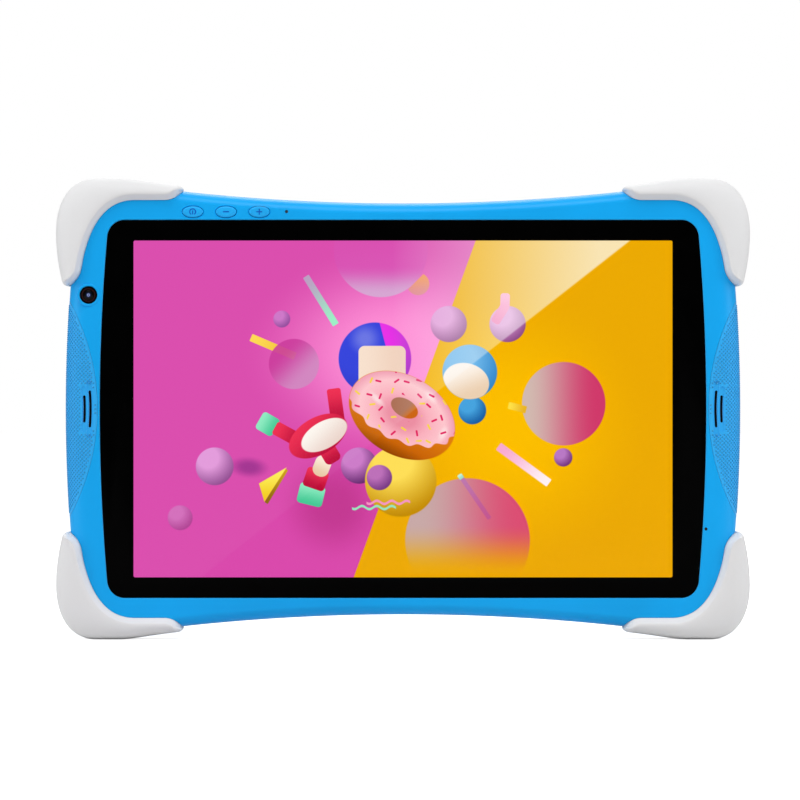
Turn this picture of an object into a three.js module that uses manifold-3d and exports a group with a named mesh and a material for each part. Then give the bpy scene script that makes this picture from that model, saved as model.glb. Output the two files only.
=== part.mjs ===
// Kids' tablet: a two-part blue shell round a 10.1 inch display, with four soft white corner bumpers,
// textured side grips and three oval keys on the front.
//
// Millimetres. The finished group has +Z up and the display facing -Y, with its origin on the ground
// under the centre. Everything is drawn in the tablet's own plane first: x to the right, y up, z from the
// back towards the viewer, with the origin at the middle of the display. The last lines stand it up.
import * as THREE from "three";
import { mergeVertices } from "three/addons/utils/BufferGeometryUtils.js";
import Module from "manifold-3d";

const wasm = await Module();
wasm.setup();

// ---- Driving dimensions ------------------------------------------------------------------------------

const GAP = 0.3; // between pieces that are cut to fit each other
const CLOSE = 0.05; // between flat pieces that lie on each other

const HALF_WIDTH = 139.9; // over the bumpers
const HALF_HEIGHT = 92.9;
const BUMPER_Z = 11; // the bumpers' front and back faces, from the middle plane

const BODY = {
  halfWidth: 136.0, // at mid height, where the sides bulge most
  halfHeight: 83.0, // at mid width, where the top and bottom are hollowed most
  sideRadius: 680,
  topRadius: 820,
  cornerX: 104, // the corner curves start here on the top edge
  cornerY: 64, // and here on the side edge
  cornerPull: 16,
  front: 8.5,
  back: -8.5,
  parting: 1.0, // the joint between the front frame and the rear cover
  backBelly: -3.5, // the rear cover's walls are straight down to here
};
const ROLL_FRONT = { side: 10, top: 4.5 }; // how far in the edges' rounding reaches
const ROLL_BACK = { side: 8, top: 4 };
const WALL = 3.0;
const FRONT_WALL = 2.1;
const BACK_WALL = 2.0;
const SEAT = 1.3; // the shell is this much smaller under the bumpers

const GLASS = { halfWidth: 121.75, halfHeight: 75.8, sideRadius: 714, corner: 7, front: 8.1, thick: 0.9 };
const LEDGE = { width: 3.6, top: 6.8, bottom: 5.6, rib: 0.9 }; // carries the glass inside the frame
const PANEL = { width: 228.6, height: 143.0 }; // outline of a 10.1 inch 16:10 display module
const CELL = { front: 7.15, back: 5.95 };
const BACKLIGHT = { front: 5.9, back: 4.6 };
const PLATE = { width: 234, height: 149.6, front: 4.5, back: 3.7 };

const GRIP = { radius: 87.5, edgeX: 123.0, thick: 0.9 };
const SLOTS = [
  { x: 125.8, halfLength: 7.15 },
  { x: 128.05, halfLength: 5.2 },
];
const SLOT_WIDTH = 0.9;

const KEYS = { names: ["power", "volume_down", "volume_up"], x: -84.6, pitch: 13.4, y: 79.3 };
const CAP = { halfWidth: 4.15, halfHeight: 2.25, top: 8.95, clearance: 0.2 };
const MICROPHONE = { x: -46.85, y: 79.4, radius: 0.65, boot: 1.3, bootTop: 5.3 };
const INDICATOR = { x: 121.9, y: -48.3, radius: 0.65 };
const FRONT_CAMERA = { x: -126.55, y: 45.85, radius: 3.45, boss: 4.6, top: 8.7 };
const REAR_CAMERA = { x: 100, y: 62, radius: 4.2, boss: 6.0 };

const BOARD = { left: -30, right: 70, bottom: 34, top: 74, front: 1.0, back: 0.0 };
const PORTS = {
  sunk: 0.4, // their mouths sit this far inside the top wall
  card: { x: 4, z: -0.85 },
  usb: { x: 24, z: -1.65 },
  jack: { x: 42, z: -2.65 },
};
const LABEL_FIELD = { width: 96, height: 52, corner: 6, y: -30, depth: 0.4 };
const BATTERY = { width: 120, height: 90, x: -5, y: -21, front: 3.5, back: -0.5 };

const CASE_SCREWS = [
  [100, 80],
  [124.5, 36],
]; // and their mirror images
const BOARD_SCREWS = [
  [-26, 38],
  [66, 38],
  [-26, 70],
  [66, 70],
];

// ---- Solids and cutting ------------------------------------------------------------------------------

function toSolid(geometry) {
  const bare = geometry.index ? geometry.toNonIndexed() : geometry.clone();
  bare.deleteAttribute("normal");
  bare.deleteAttribute("uv");
  const merged = mergeVertices(bare, 1e-4);
  return new wasm.Manifold(
    new wasm.Mesh({
      numProp: 3,
      vertProperties: merged.attributes.position.array,
      triVerts: new Uint32Array(merged.index.array),
    }),
  );
}

function toGeometry(solid) {
  const mesh = solid.getMesh();
  const geometry = new THREE.BufferGeometry();
  geometry.setAttribute("position", new THREE.BufferAttribute(mesh.vertProperties, 3));
  geometry.setIndex(new THREE.BufferAttribute(mesh.triVerts, 1));
  geometry.computeVertexNormals();
  return geometry;
}

const cut = (geometry, ...tools) =>
  toGeometry(tools.reduce((left, tool) => left.subtract(toSolid(tool)), toSolid(geometry)));
const join = (geometry, ...others) =>
  toGeometry(others.reduce((sum, other) => sum.add(toSolid(other)), toSolid(geometry)));
const common = (a, b) => toGeometry(toSolid(a).intersect(toSolid(b)));

// The mirror image about x and y, with its faces still pointing out.
function flipped(geometry, signX, signY) {
  const copy = (geometry.index ? geometry.toNonIndexed() : geometry.clone()).scale(signX, signY, 1);
  if (signX * signY > 0) return copy;
  const { array } = copy.attributes.position;
  for (let i = 0; i < array.length; i += 9)
    for (let k = 0; k < 3; k++) [array[i + 3 + k], array[i + 6 + k]] = [array[i + 6 + k], array[i + 3 + k]];
  copy.deleteAttribute("normal");
  return copy;
}

const QUADRANTS = [
  [-1, 1],
  [1, 1],
  [-1, -1],
  [1, -1],
];
const everyQuadrant = (geometry) => QUADRANTS.map(([sx, sy]) => flipped(geometry, sx, sy));

// ---- Basic shapes ------------------------------------------------------------------------------------

function prism(shape, bottom, top, curveSegments = 8) {
  const options = { depth: top - bottom, bevelEnabled: false, curveSegments };
  return new THREE.ExtrudeGeometry(shape, options).translate(0, 0, bottom);
}

function block(x0, x1, y0, y1, z0, z1) {
  const box = new THREE.BoxGeometry(x1 - x0, y1 - y0, z1 - z0);
  return box.translate((x0 + x1) / 2, (y0 + y1) / 2, (z0 + z1) / 2);
}

function rod(radius, bottom, top, x = 0, y = 0, segments = 16) {
  const cylinder = new THREE.CylinderGeometry(radius, radius, top - bottom, segments);
  return cylinder.rotateX(Math.PI / 2).translate(x, y, (bottom + top) / 2);
}

function ellipse(halfWidth, halfHeight, x = 0, y = 0) {
  return new THREE.Shape().absellipse(x, y, halfWidth, halfHeight, 0, 2 * Math.PI);
}

function roundedRectangle(width, height, radius, x = 0, y = 0) {
  const [w, h] = [width / 2 - radius, height / 2 - radius];
  return new THREE.Shape()
    .moveTo(x - w, y - h - radius)
    .absarc(x + w, y - h, radius, -Math.PI / 2, 0)
    .absarc(x + w, y + h, radius, 0, Math.PI / 2)
    .absarc(x - w, y + h, radius, Math.PI / 2, Math.PI)
    .absarc(x - w, y - h, radius, Math.PI, 1.5 * Math.PI);
}

// ---- Outlines ----------------------------------------------------------------------------------------

const sideX = (part, y) => part.halfWidth - (y * y) / (2 * part.sideRadius);
const topY = (x) => BODY.halfHeight + (x * x) / (2 * BODY.topRadius);

// Goes anticlockwise round four corners that are mirror images, from half of one side to the next.
function bodyShape() {
  const { cornerX: cx, cornerY: cy, cornerPull: pull } = BODY;
  const [sx, ty] = [sideX(BODY, cy), topY(cx)];
  const middleY = 2 * BODY.halfHeight - ty; // control point of the parabola along the top
  const middleX = 2 * BODY.halfWidth - sx;
  const [rise, lean] = [(cx / BODY.topRadius) * pull, (cy / BODY.sideRadius) * pull];
  return new THREE.Shape()
    .moveTo(cx, -ty)
    .bezierCurveTo(cx + pull, -ty - rise, sx - lean, -cy - pull, sx, -cy)
    .quadraticCurveTo(middleX, 0, sx, cy)
    .bezierCurveTo(sx - lean, cy + pull, cx + pull, ty + rise, cx, ty)
    .quadraticCurveTo(0, middleY, -cx, ty)
    .bezierCurveTo(-cx - pull, ty + rise, -sx + lean, cy + pull, -sx, cy)
    .quadraticCurveTo(-middleX, 0, -sx, -cy)
    .bezierCurveTo(-sx + lean, -cy - pull, -cx - pull, -ty - rise, -cx, -ty)
    .quadraticCurveTo(0, -middleY, cx, -ty);
}

function glassShape() {
  const { halfHeight: top, corner } = GLASS;
  const low = top - corner;
  const side = sideX(GLASS, low);
  const middle = 2 * GLASS.halfWidth - side;
  const start = side - corner;
  const round = 0.45 * corner; // distance of a control point from the square corner
  return new THREE.Shape()
    .moveTo(start, -top)
    .bezierCurveTo(side - round, -top, side - 0.2, -low - corner + round, side, -low)
    .quadraticCurveTo(middle, 0, side, low)
    .bezierCurveTo(side - 0.2, top - round, side - round, top, start, top)
    .lineTo(-start, top)
    .bezierCurveTo(-side + round, top, -side + 0.2, top - round, -side, low)
    .quadraticCurveTo(-middle, 0, -side, -low)
    .bezierCurveTo(-side + 0.2, -top + round, -side + round, -top, -start, -top)
    .lineTo(start, -top);
}

// The upper left bumper seen from the front. The inner edge runs first, from the tip of the top arm to the
// tip of the side arm, then the outer edge runs back round the corner.
const BUMPER_TIPS = { top: [-88.2, 87.4], side: [-133.9, 49.5] };
function bumperInnerEdge(path) {
  return path
    .moveTo(...BUMPER_TIPS.top)
    .quadraticCurveTo(-91.0, 84.1, -95.0, 84.1)
    .lineTo(-107.9, 84.1)
    .bezierCurveTo(-119.0, 84.1, -125.3, 75.5, -128.7, 61.0)
    .lineTo(-129.5, 56.6)
    .quadraticCurveTo(-130.2, 52.4, ...BUMPER_TIPS.side);
}
function bumperOuterEdge(path) {
  return path
    .quadraticCurveTo(-135.9, 49.3, -136.8, 51.0)
    .bezierCurveTo(-138.6, 57.0, -HALF_WIDTH, 64.0, -HALF_WIDTH, 71.0)
    .bezierCurveTo(-HALF_WIDTH, 83.5, -134.5, HALF_HEIGHT, -123.5, HALF_HEIGHT)
    .lineTo(-115.5, HALF_HEIGHT)
    .bezierCurveTo(-109.0, HALF_HEIGHT, -104.0, 91.5, -91.5, 90.1)
    .bezierCurveTo(-89.0, 89.8, -87.6, 88.8, ...BUMPER_TIPS.top);
}

// Points of a closed outline, anticlockwise, without the repeated end.
function outline(shape, divisions) {
  const points = shape.getPoints(divisions);
  if (points[0].distanceTo(points.at(-1)) < 1e-6) points.pop();
  return THREE.ShapeUtils.isClockWise(points) ? points.reverse() : points;
}

// Outward normals at the corners of an anticlockwise outline, longer where the corner is sharper.
function cornerNormals(points) {
  const count = points.length;
  return points.map((point, i) => {
    const before = point.clone().sub(points[(i + count - 1) % count]).normalize();
    const after = points[(i + 1) % count].clone().sub(point).normalize();
    const normal = new THREE.Vector2(before.y + after.y, -before.x - after.x).normalize();
    return normal.divideScalar(Math.max(0.5, normal.x * after.y - normal.y * after.x));
  });
}

const offset = (points, distance) => {
  const normals = cornerNormals(points);
  return points.map((point, i) => point.clone().addScaledVector(normals[i], distance));
};

// ---- Lofted solids -----------------------------------------------------------------------------------

// Closes a stack of rings, each a list of Vector3 with the same count, from the back to the front.
function loft(rings) {
  const count = rings[0].length;
  const positions = rings.flat().flatMap((point) => [point.x, point.y, point.z]);
  const index = [];
  for (let level = 0; level + 1 < rings.length; level++)
    for (let i = 0; i < count; i++) {
      const [a, b] = [level * count + i, level * count + ((i + 1) % count)];
      index.push(a, b, b + count, a, b + count, a + count);
    }
  const last = (rings.length - 1) * count;
  const flat = (ring) => ring.map((point) => new THREE.Vector2(point.x, point.y));
  for (const [a, b, c] of THREE.ShapeUtils.triangulateShape(flat(rings[0]), [])) index.push(c, b, a);
  for (const [a, b, c] of THREE.ShapeUtils.triangulateShape(flat(rings.at(-1)), []))
    index.push(last + a, last + b, last + c);
  const geometry = new THREE.BufferGeometry();
  geometry.setAttribute("position", new THREE.Float32BufferAttribute(positions, 3));
  geometry.setIndex(index);
  return geometry;
}

// A slab whose front and back edges are rounded as quarter ellipses. edge(i) gives, for the outline's
// point i, how far in (roll) and how deep (rise) the rounding goes at the front and at the back.
function roundedSlab(points, front, back, edge, steps) {
  const normals = cornerNormals(points);
  const ring = (side, angle) =>
    points.map((point, i) => {
      const { roll, rise } = edge(i)[side];
      const inward = roll * (1 - Math.cos(angle));
      const drop = rise * (1 - Math.sin(angle));
      const z = side === "front" ? front - drop : back + drop;
      return new THREE.Vector3(point.x - normals[i].x * inward, point.y - normals[i].y * inward, z);
    });
  const angles = Array.from({ length: steps + 1 }, (_, k) => (k * Math.PI) / 2 / steps);
  return loft([
    ...angles.toReversed().map((angle) => ring("back", angle)),
    ...angles.map((angle) => ring("front", angle)),
  ]);
}

// The whole tablet shell as one rounded slab, made smaller by an inset on every side.
function shell(inset, frontInset = inset, backInset = inset) {
  const points = offset(outline(bodyShape(), 8), -inset);
  const sideways = cornerNormals(points).map((normal) => Math.min(1, normal.x * normal.x));
  const [front, back] = [BODY.front - frontInset, BODY.back + backInset];
  const roll = (by, i) => Math.max(1, by.top + (by.side - by.top) * sideways[i] - inset);
  const edge = (i) => ({
    front: { roll: roll(ROLL_FRONT, i), rise: front - BODY.parting },
    back: { roll: roll(ROLL_BACK, i), rise: BODY.backBelly - back },
  });
  return roundedSlab(points, front, back, edge, 3);
}

// ---- Tools that cut both shell halves ----------------------------------------------------------------

const FAR = 200; // reaches past everything
const gripCentre = GRIP.edgeX + GRIP.radius;
const gripRegion = (extra) => rod(GRIP.radius + extra, -FAR, FAR, -gripCentre, 0, 96);
const bothSides = (geometry) => [geometry, flipped(geometry, -1, 1)];

// Inset under the grip, with a rim wide enough for the grip's own edge.
const gripRecess = cut(gripRegion(GAP), shell(GRIP.thick + GAP));

function bumperRegion(extra) {
  const shape = new THREE.Shape();
  const edge = outline(bumperOuterEdge(bumperInnerEdge(shape)), 6);
  return prism(new THREE.Shape(offset(edge, extra)), -FAR, FAR);
}
const bumperSeat = cut(bumperRegion(GAP), shell(SEAT));

function speakerSlot({ x, halfLength }, width) {
  const radius = gripCentre - x;
  const half = Math.asin(halfLength / radius);
  const end = (angle) => [-gripCentre + radius * Math.cos(angle), radius * Math.sin(angle)];
  const shape = new THREE.Shape()
    .absarc(-gripCentre, 0, radius + width / 2, -half, half)
    .absarc(...end(half), width / 2, half, half + Math.PI)
    .absarc(-gripCentre, 0, radius - width / 2, half, -half, true)
    .absarc(...end(-half), width / 2, Math.PI - half, 2 * Math.PI - half);
  return prism(shape, 2, 10, 4);
}
const slotCuts = SLOTS.map((slot) => speakerSlot(slot, SLOT_WIDTH));

const caseScrewPlaces = CASE_SCREWS.flatMap(([x, y]) => QUADRANTS.map(([sx, sy]) => [sx * x, sy * y]));

// ---- Shell parts -------------------------------------------------------------------------------------

function frontFrame() {
  const glass = outline(glassShape(), 8);
  const cavity = shell(WALL, FRONT_WALL, BACK_WALL);
  const front = common(shell(0), block(-FAR, FAR, -FAR, FAR, BODY.parting + GAP / 2, FAR));
  const rib = new THREE.Shape(offset(glass, GAP + LEDGE.rib));
  const walls = join(
    cut(front, cavity),
    prism(rib, LEDGE.bottom, BODY.front - FRONT_WALL + 0.2),
    rod(FRONT_CAMERA.boss, 6.0, FRONT_CAMERA.top, FRONT_CAMERA.x, FRONT_CAMERA.y, 24),
    rod(1.7, MICROPHONE.bootTop + CLOSE, 6.8, MICROPHONE.x, MICROPHONE.y, 14),
    ...caseScrewPlaces.map(([x, y]) => rod(2.8, -1.0, 7.0, x, y, 12)),
  );
  const keyHole = ellipse(CAP.halfWidth + CAP.clearance, CAP.halfHeight + CAP.clearance);
  return cut(
    walls,
    prism(new THREE.Shape(offset(glass, -LEDGE.width)), 0, FAR),
    prism(new THREE.Shape(offset(glass, GAP)), LEDGE.top, FAR),
    ...KEYS.names.map((_, i) => prism(keyHole, 0, FAR, 8).translate(KEYS.x + i * KEYS.pitch, KEYS.y, 0)),
    rod(MICROPHONE.radius, 2, FAR, MICROPHONE.x, MICROPHONE.y, 10),
    rod(INDICATOR.radius, 2, FAR, INDICATOR.x, INDICATOR.y, 10),
    rod(FRONT_CAMERA.radius + 0.2, 7.4, FAR, FRONT_CAMERA.x, FRONT_CAMERA.y, 24),
    rod(2.8, 2, FAR, FRONT_CAMERA.x, FRONT_CAMERA.y, 16),
    ...caseScrewPlaces.map(([x, y]) => rod(1.2, -2, 5.0, x, y, 8)),
    ...bothSides(gripRecess),
    ...everyQuadrant(bumperSeat),
    ...slotCuts.flatMap(bothSides),
  );
}

function rearCover() {
  const cavity = shell(WALL, FRONT_WALL, BACK_WALL);
  const back = common(shell(0), block(-FAR, FAR, -FAR, FAR, -FAR, BODY.parting - GAP / 2));
  const floor = BODY.back + BACK_WALL;
  const { x, y, radius, boss } = REAR_CAMERA;
  const walls = join(
    cut(back, cavity),
    rod(boss, BODY.back + 0.1, floor + 1.5, x, y, 24),
    ...caseScrewPlaces.map(([sx, sy]) => rod(3.2, floor - 0.5, -1.3, sx, sy, 12)),
  );
  const throughWall = (shape, port) => inTopWall(prism(shape, -6, 3, 4), port);
  const { width, height, corner, y: fieldY, depth } = LABEL_FIELD;
  return cut(
    walls,
    throughWall(roundedRectangle(9.6, 3.9, 1.8), PORTS.usb),
    throughWall(roundedRectangle(12.6, 2.3, 0.3), PORTS.card),
    throughWall(ellipse(2.85, 2.85), PORTS.jack),
    prism(roundedRectangle(width, height, corner, 0, fieldY), -FAR, BODY.back + depth),
    rod(radius + 0.2, -FAR, BODY.back + 1.1, x, y, 24),
    rod(3.4, -FAR, 0, x, y, 20),
    ...caseScrewPlaces.map(([sx, sy]) => rod(1.35, -FAR, 0, sx, sy, 8)),
    ...caseScrewPlaces.map(([sx, sy]) => rod(2.5, -FAR, -6.6, sx, sy, 12)),
    ...bothSides(gripRecess),
    ...everyQuadrant(bumperSeat),
  );
}

function sideGrip() {
  const skin = cut(common(shell(0), gripRegion(0)), shell(GRIP.thick));
  return cut(skin, ...slotCuts);
}

// Wraps the shell's corner. Its outer edge is well rounded, its inner edge is a short slope down to the
// shell, and both fade out towards the thin tips.
function bumper() {
  const shape = bumperOuterEdge(bumperInnerEdge(new THREE.Shape()));
  const points = outline(shape, 6);
  const inner = bumperInnerEdge(new THREE.Path()).getPoints(24);
  const tips = Object.values(BUMPER_TIPS).map(([x, y]) => new THREE.Vector2(x, y));
  const edges = points.map((point) => {
    const nearest = Math.min(...inner.map((other) => other.distanceTo(point)));
    const fromTip = Math.min(...tips.map((tip) => tip.distanceTo(point)));
    const taper = Math.min(1, 0.12 + fromTip / 12);
    const isInner = nearest < 1.0;
    const both = isInner ? { roll: 2.0 * taper, rise: 2.5 } : { roll: 4.0 * taper, rise: 4.0 };
    return { front: both, back: both };
  });
  return cut(
    roundedSlab(points, BUMPER_Z, -BUMPER_Z, (i) => edges[i], 3),
    shell(SEAT - GAP),
  );
}

// ---- Display stack -----------------------------------------------------------------------------------

function coverGlass() {
  return prism(new THREE.Shape(outline(glassShape(), 8)), GLASS.front - GLASS.thick, GLASS.front);
}

function glassAdhesive() {
  const glass = outline(glassShape(), 8);
  const ring = new THREE.Shape(offset(glass, -0.6));
  ring.holes.push(new THREE.Path(offset(glass, -LEDGE.width + 0.4).reverse()));
  return prism(ring, LEDGE.top + CLOSE, GLASS.front - GLASS.thick - CLOSE);
}

function displayCell() {
  return prism(roundedRectangle(PANEL.width, PANEL.height, 1.5), CELL.back, CELL.front, 2);
}

function backlightTray() {
  const tray = prism(roundedRectangle(PANEL.width, PANEL.height, 1.5), BACKLIGHT.back, BACKLIGHT.front, 2);
  return cut(tray, block(-108.6, 108.6, -67.9, 67.9, BACKLIGHT.back + 0.4, FAR));
}

function midPlate() {
  const plate = roundedRectangle(PLATE.width, PLATE.height, 4);
  for (const x of [-95, -75, 82, 100])
    for (const y of [-50, -20, 10]) plate.holes.push(new THREE.Path().absarc(x, y, 6, 0, 2 * Math.PI, true));
  const posts = BOARD_SCREWS.map(([x, y]) => rod(2.2, BOARD.front + CLOSE, PLATE.back + 0.2, x, y, 12));
  const threads = BOARD_SCREWS.map(([x, y]) => rod(0.95, 0, FAR, x, y, 8));
  return cut(join(prism(plate, PLATE.back, PLATE.front, 4), ...posts), ...threads);
}

// ---- Electronics -------------------------------------------------------------------------------------

function mainBoard() {
  const { left, right, bottom, top, front, back } = BOARD;
  const [width, height] = [right - left, top - bottom];
  const board = roundedRectangle(width, height, 2, (left + right) / 2, (bottom + top) / 2);
  for (const [x, y] of BOARD_SCREWS) board.holes.push(new THREE.Path().absarc(x, y, 1.1, 0, 2 * Math.PI, true));
  const parts = [
    block(-18, -8, 40, 50, -1.2, back + 0.1), // radio module
    block(52, 58, 46, 52, -0.9, back + 0.1), // power chip
    block(44, 48, 54, 58, -1.1, back + 0.1), // coil
    block(-29, -27, 44, 52, -0.8, back + 0.1), // camera connector
    block(-29.5, -27.2, 57, 62, -0.8, back + 0.1), // speaker connector
    block(67, 69.5, 46, 51, -0.8, back + 0.1), // speaker connector
    block(-19, -7, 60, 63, -0.9, back + 0.1), // display connector
    block(-20, -10, 34.5, 37, -1.4, back + 0.1), // battery connector
  ];
  return join(prism(board, back, front, 4), ...parts);
}

function processorShield() {
  const can = block(2, 40, 38, 64, -1.7, BOARD.back - CLOSE);
  return cut(can, block(2.3, 39.7, 38.3, 63.7, -1.4, FAR));
}

function battery() {
  const { width, height, x, y, front, back } = BATTERY;
  return prism(roundedRectangle(width, height, 3, x, y), back, front, 3);
}

// The sockets are drawn with their mouths facing up at z = 0.
function usbSocket() {
  const sleeve = prism(roundedRectangle(8.94, 3.2, 1.5), -7.2, 0, 4);
  const mouth = prism(roundedRectangle(8.34, 2.6, 1.25), -6.2, FAR, 4);
  return join(cut(sleeve, mouth), block(-3.35, 3.35, -0.35, 0.35, -6.5, -0.7));
}

function jackSocket() {
  const body = join(block(-3.1, 3.1, -2.6, 2.6, -14, -3.6), rod(2.5, -3.7, 0, 0, 0, 20));
  return cut(body, rod(1.8, -13, FAR, 0, 0, 16));
}

function cardSocket() {
  const body = join(block(-7, 7, -0.8, 0.8, -15, -3.1), block(-6, 6, -0.8, 0.8, -3.2, 0));
  return cut(body, block(-5.6, 5.6, -0.5, 0.5, -13.5, FAR));
}

// Turns what faces up to the top wall, and moves it there.
function inTopWall(geometry, { x, z }) {
  return geometry.rotateX(-Math.PI / 2).translate(x, topY(x) - PORTS.sunk, z);
}

function keyCap() {
  const { halfWidth, halfHeight, top } = CAP;
  const ceiling = BODY.front - FRONT_WALL;
  const crown = 0.35;
  const face = new THREE.ExtrudeGeometry(ellipse(halfWidth, halfHeight), {
    depth: top - crown - (ceiling - 0.5),
    bevelThickness: crown,
    bevelSize: crown,
    bevelOffset: -crown,
    bevelSegments: 2,
    curveSegments: 10,
  }).translate(0, 0, ceiling - 0.5);
  const ears = prism(roundedRectangle(10.6, 2.2, 1), ceiling - 0.95, ceiling - 0.15, 3);
  return join(face, ears, rod(1.2, 4.65, ceiling - 0.5, 0, 0, 12));
}

const switchPlunger = () => rod(0.95, 3.55, 4.6, 0, 0, 12);

function keySwitch() {
  return cut(block(-2.6, 2.6, -1.9, 1.9, 2.45, 4.0), rod(1.15, 2.95, FAR, 0, 0, 12));
}

const buttonBoard = () => block(-92, -43.5, 76.6, 80.9, 1.5, 2.4);

function cameraModule(size, barrel, back, shoulder, front) {
  return join(
    block(-size / 2, size / 2, -size / 2, size / 2, back, shoulder),
    rod(barrel, shoulder - 0.1, front, 0, 0, 16),
  );
}

const window = (radius, back, front) => rod(radius, back, front, 0, 0, 28);

function speaker() {
  const box = block(-130.4, -122.6, -14, 14, -0.4, 4.6);
  return join(box, prism(roundedRectangle(5.0, 22, 2.4, -126.5, 0), 4.5, 4.85, 4));
}

const speakerMesh = () => prism(roundedRectangle(5.6, 18, 1, -126.4, 0), 4.95, 5.15, 3);

function microphoneBoot() {
  const { x, y, radius, boot, bootTop } = MICROPHONE;
  return cut(rod(boot, 3.65, bootTop, x, y, 14), rod(radius, 0, FAR, x, y, 10));
}

const microphone = () =>
  block(MICROPHONE.x - 1.9, MICROPHONE.x + 1.9, MICROPHONE.y - 1.4, MICROPHONE.y + 1.4, 2.45, 3.6);

const lightPipe = () => join(rod(0.5, 5, 8.3, 0, 0, 8), rod(1.1, 4.0, 5.3, 0, 0, 10));

// ---- Ribbons, wires and screws -----------------------------------------------------------------------

function wire(radius, points) {
  const path = new THREE.CatmullRomCurve3(points.map((point) => new THREE.Vector3(...point)));
  const section = new THREE.Shape().absarc(0, 0, radius, 0, 2 * Math.PI);
  return new THREE.ExtrudeGeometry(section, { steps: 3 * points.length, curveSegments: 3, extrudePath: path });
}

// A flat ribbon that bends in the y-z plane, wide along x.
function ribbon(line, thickness, x0, x1) {
  const centre = line.map(([y, z]) => new THREE.Vector2(y, z));
  const side = (sign) =>
    centre.map((point, i) => {
      const before = centre[Math.max(0, i - 1)];
      const after = centre[Math.min(centre.length - 1, i + 1)];
      const along = after.clone().sub(before).normalize();
      const stretch = i > 0 && i < centre.length - 1 ? Math.SQRT2 : 1;
      const reach = (sign * thickness * stretch) / 2;
      return new THREE.Vector2(point.x - along.y * reach, point.y + along.x * reach);
    });
  const shape = new THREE.Shape([...side(-1), ...side(1).reverse()]);
  const turned = new THREE.Matrix4().makeBasis(
    new THREE.Vector3(0, 1, 0),
    new THREE.Vector3(0, 0, 1),
    new THREE.Vector3(1, 0, 0),
  );
  return prism(shape, x0, x1).applyMatrix4(turned);
}

// A pan-head screw whose head faces the back, at head height z.
function screw(headRadius, headHeight, shankRadius, z, length) {
  const profile = [
    [0, 0],
    [headRadius - 0.25, 0],
    [headRadius, 0.3],
    [headRadius, headHeight],
    [shankRadius, headHeight],
    [shankRadius, length - 0.8],
    [0, length],
  ].map(([radius, along]) => new THREE.Vector2(radius, along));
  return new THREE.LatheGeometry(profile, 12).rotateX(Math.PI / 2).translate(0, 0, z);
}

// ---- Materials ---------------------------------------------------------------------------------------

const finish = (color, roughness, metalness = 0) =>
  new THREE.MeshStandardMaterial({ color, roughness, metalness });
const BLUE = finish(0x0aa0ec, 0.42);
const GRIP_BLUE = finish(0x2aa0ec, 0.6);
const WHITE = finish(0xe4e4e4, 0.55);
const GLASS_BLACK = finish(0x050505, 0.05);
const BLACK = finish(0x0c0c0e, 0.6);
const SCREEN = finish(0xd850ae, 0.3);
const STEEL = finish(0xb9bcc0, 0.35, 1);
const BOARD_GREEN = finish(0x1c5a35, 0.5);
const AMBER = finish(0xc98a2c, 0.5);
const SILVER = finish(0xc8c9cc, 0.45, 1);
const CLEAR = finish(0x20242a, 0.1);
const WIRE_RED = finish(0xb02a24, 0.5);

// ---- Assembly ----------------------------------------------------------------------------------------

const tablet = new THREE.Group(); // drawn lying, display towards +z

function add(name, geometry, material, x = 0, y = 0, z = 0) {
  const mesh = new THREE.Mesh(geometry, material);
  mesh.name = name;
  mesh.position.set(x, y, z);
  tablet.add(mesh);
  return mesh;
}

function addPair(name, geometry, material) {
  add(`${name}_left`, geometry, material);
  add(`${name}_right`, flipped(geometry, -1, 1), material);
}

add("front_frame", frontFrame(), BLUE);
add("rear_cover", rearCover(), BLUE);
const bumperGeometry = bumper(); // drawn at the top left, so the first quadrant's mirror image is the right one
["top_right", "top_left", "bottom_right", "bottom_left"].forEach((corner, i) =>
  add(`bumper_${corner}`, flipped(bumperGeometry, ...QUADRANTS[i]), WHITE),
);
addPair("side_grip", sideGrip(), GRIP_BLUE);

add("cover_glass", coverGlass(), GLASS_BLACK);
add("glass_adhesive", glassAdhesive(), BLACK);
add("display_cell", displayCell(), SCREEN);
add("backlight_tray", backlightTray(), SILVER);
add("mid_plate", midPlate(), SILVER);

add("main_board", mainBoard(), BOARD_GREEN);
add("processor_shield", processorShield(), STEEL);
add("battery", battery(), SILVER);
add("usb_c_socket", inTopWall(usbSocket(), PORTS.usb), STEEL);
add("headphone_socket", inTopWall(jackSocket(), PORTS.jack), BLACK);
add("card_socket", inTopWall(cardSocket(), PORTS.card), STEEL);
addPair("speaker", speaker(), BLACK);
addPair("speaker_mesh", speakerMesh(), BLACK);

KEYS.names.forEach((name, i) => {
  const x = KEYS.x + i * KEYS.pitch;
  add(`${name}_button`, keyCap(), BLUE, x, KEYS.y);
  add(`${name}_plunger`, switchPlunger(), BLACK, x, KEYS.y);
  add(`${name}_switch`, keySwitch(), STEEL, x, KEYS.y);
});
add("button_board", buttonBoard(), BOARD_GREEN);
add("microphone", microphone(), STEEL);
add("microphone_boot", microphoneBoot(), BLACK);
add("indicator_light_pipe", lightPipe(), CLEAR, INDICATOR.x, INDICATOR.y);

add("front_camera_window", window(FRONT_CAMERA.radius, 7.5, 8.45), CLEAR, FRONT_CAMERA.x, FRONT_CAMERA.y);
add("front_camera_module", cameraModule(6, 2.2, 2.8, 4.4, 7.2), BLACK, FRONT_CAMERA.x, FRONT_CAMERA.y);
add("rear_camera_window", window(REAR_CAMERA.radius, -8.3, -7.5), CLEAR, REAR_CAMERA.x, REAR_CAMERA.y);
const rearModule = cameraModule(8.5, 3.1, -4.6, -2.0, 0.6).rotateY(Math.PI);
add("rear_camera_module", rearModule, BLACK, REAR_CAMERA.x, REAR_CAMERA.y, -6.7);

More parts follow.
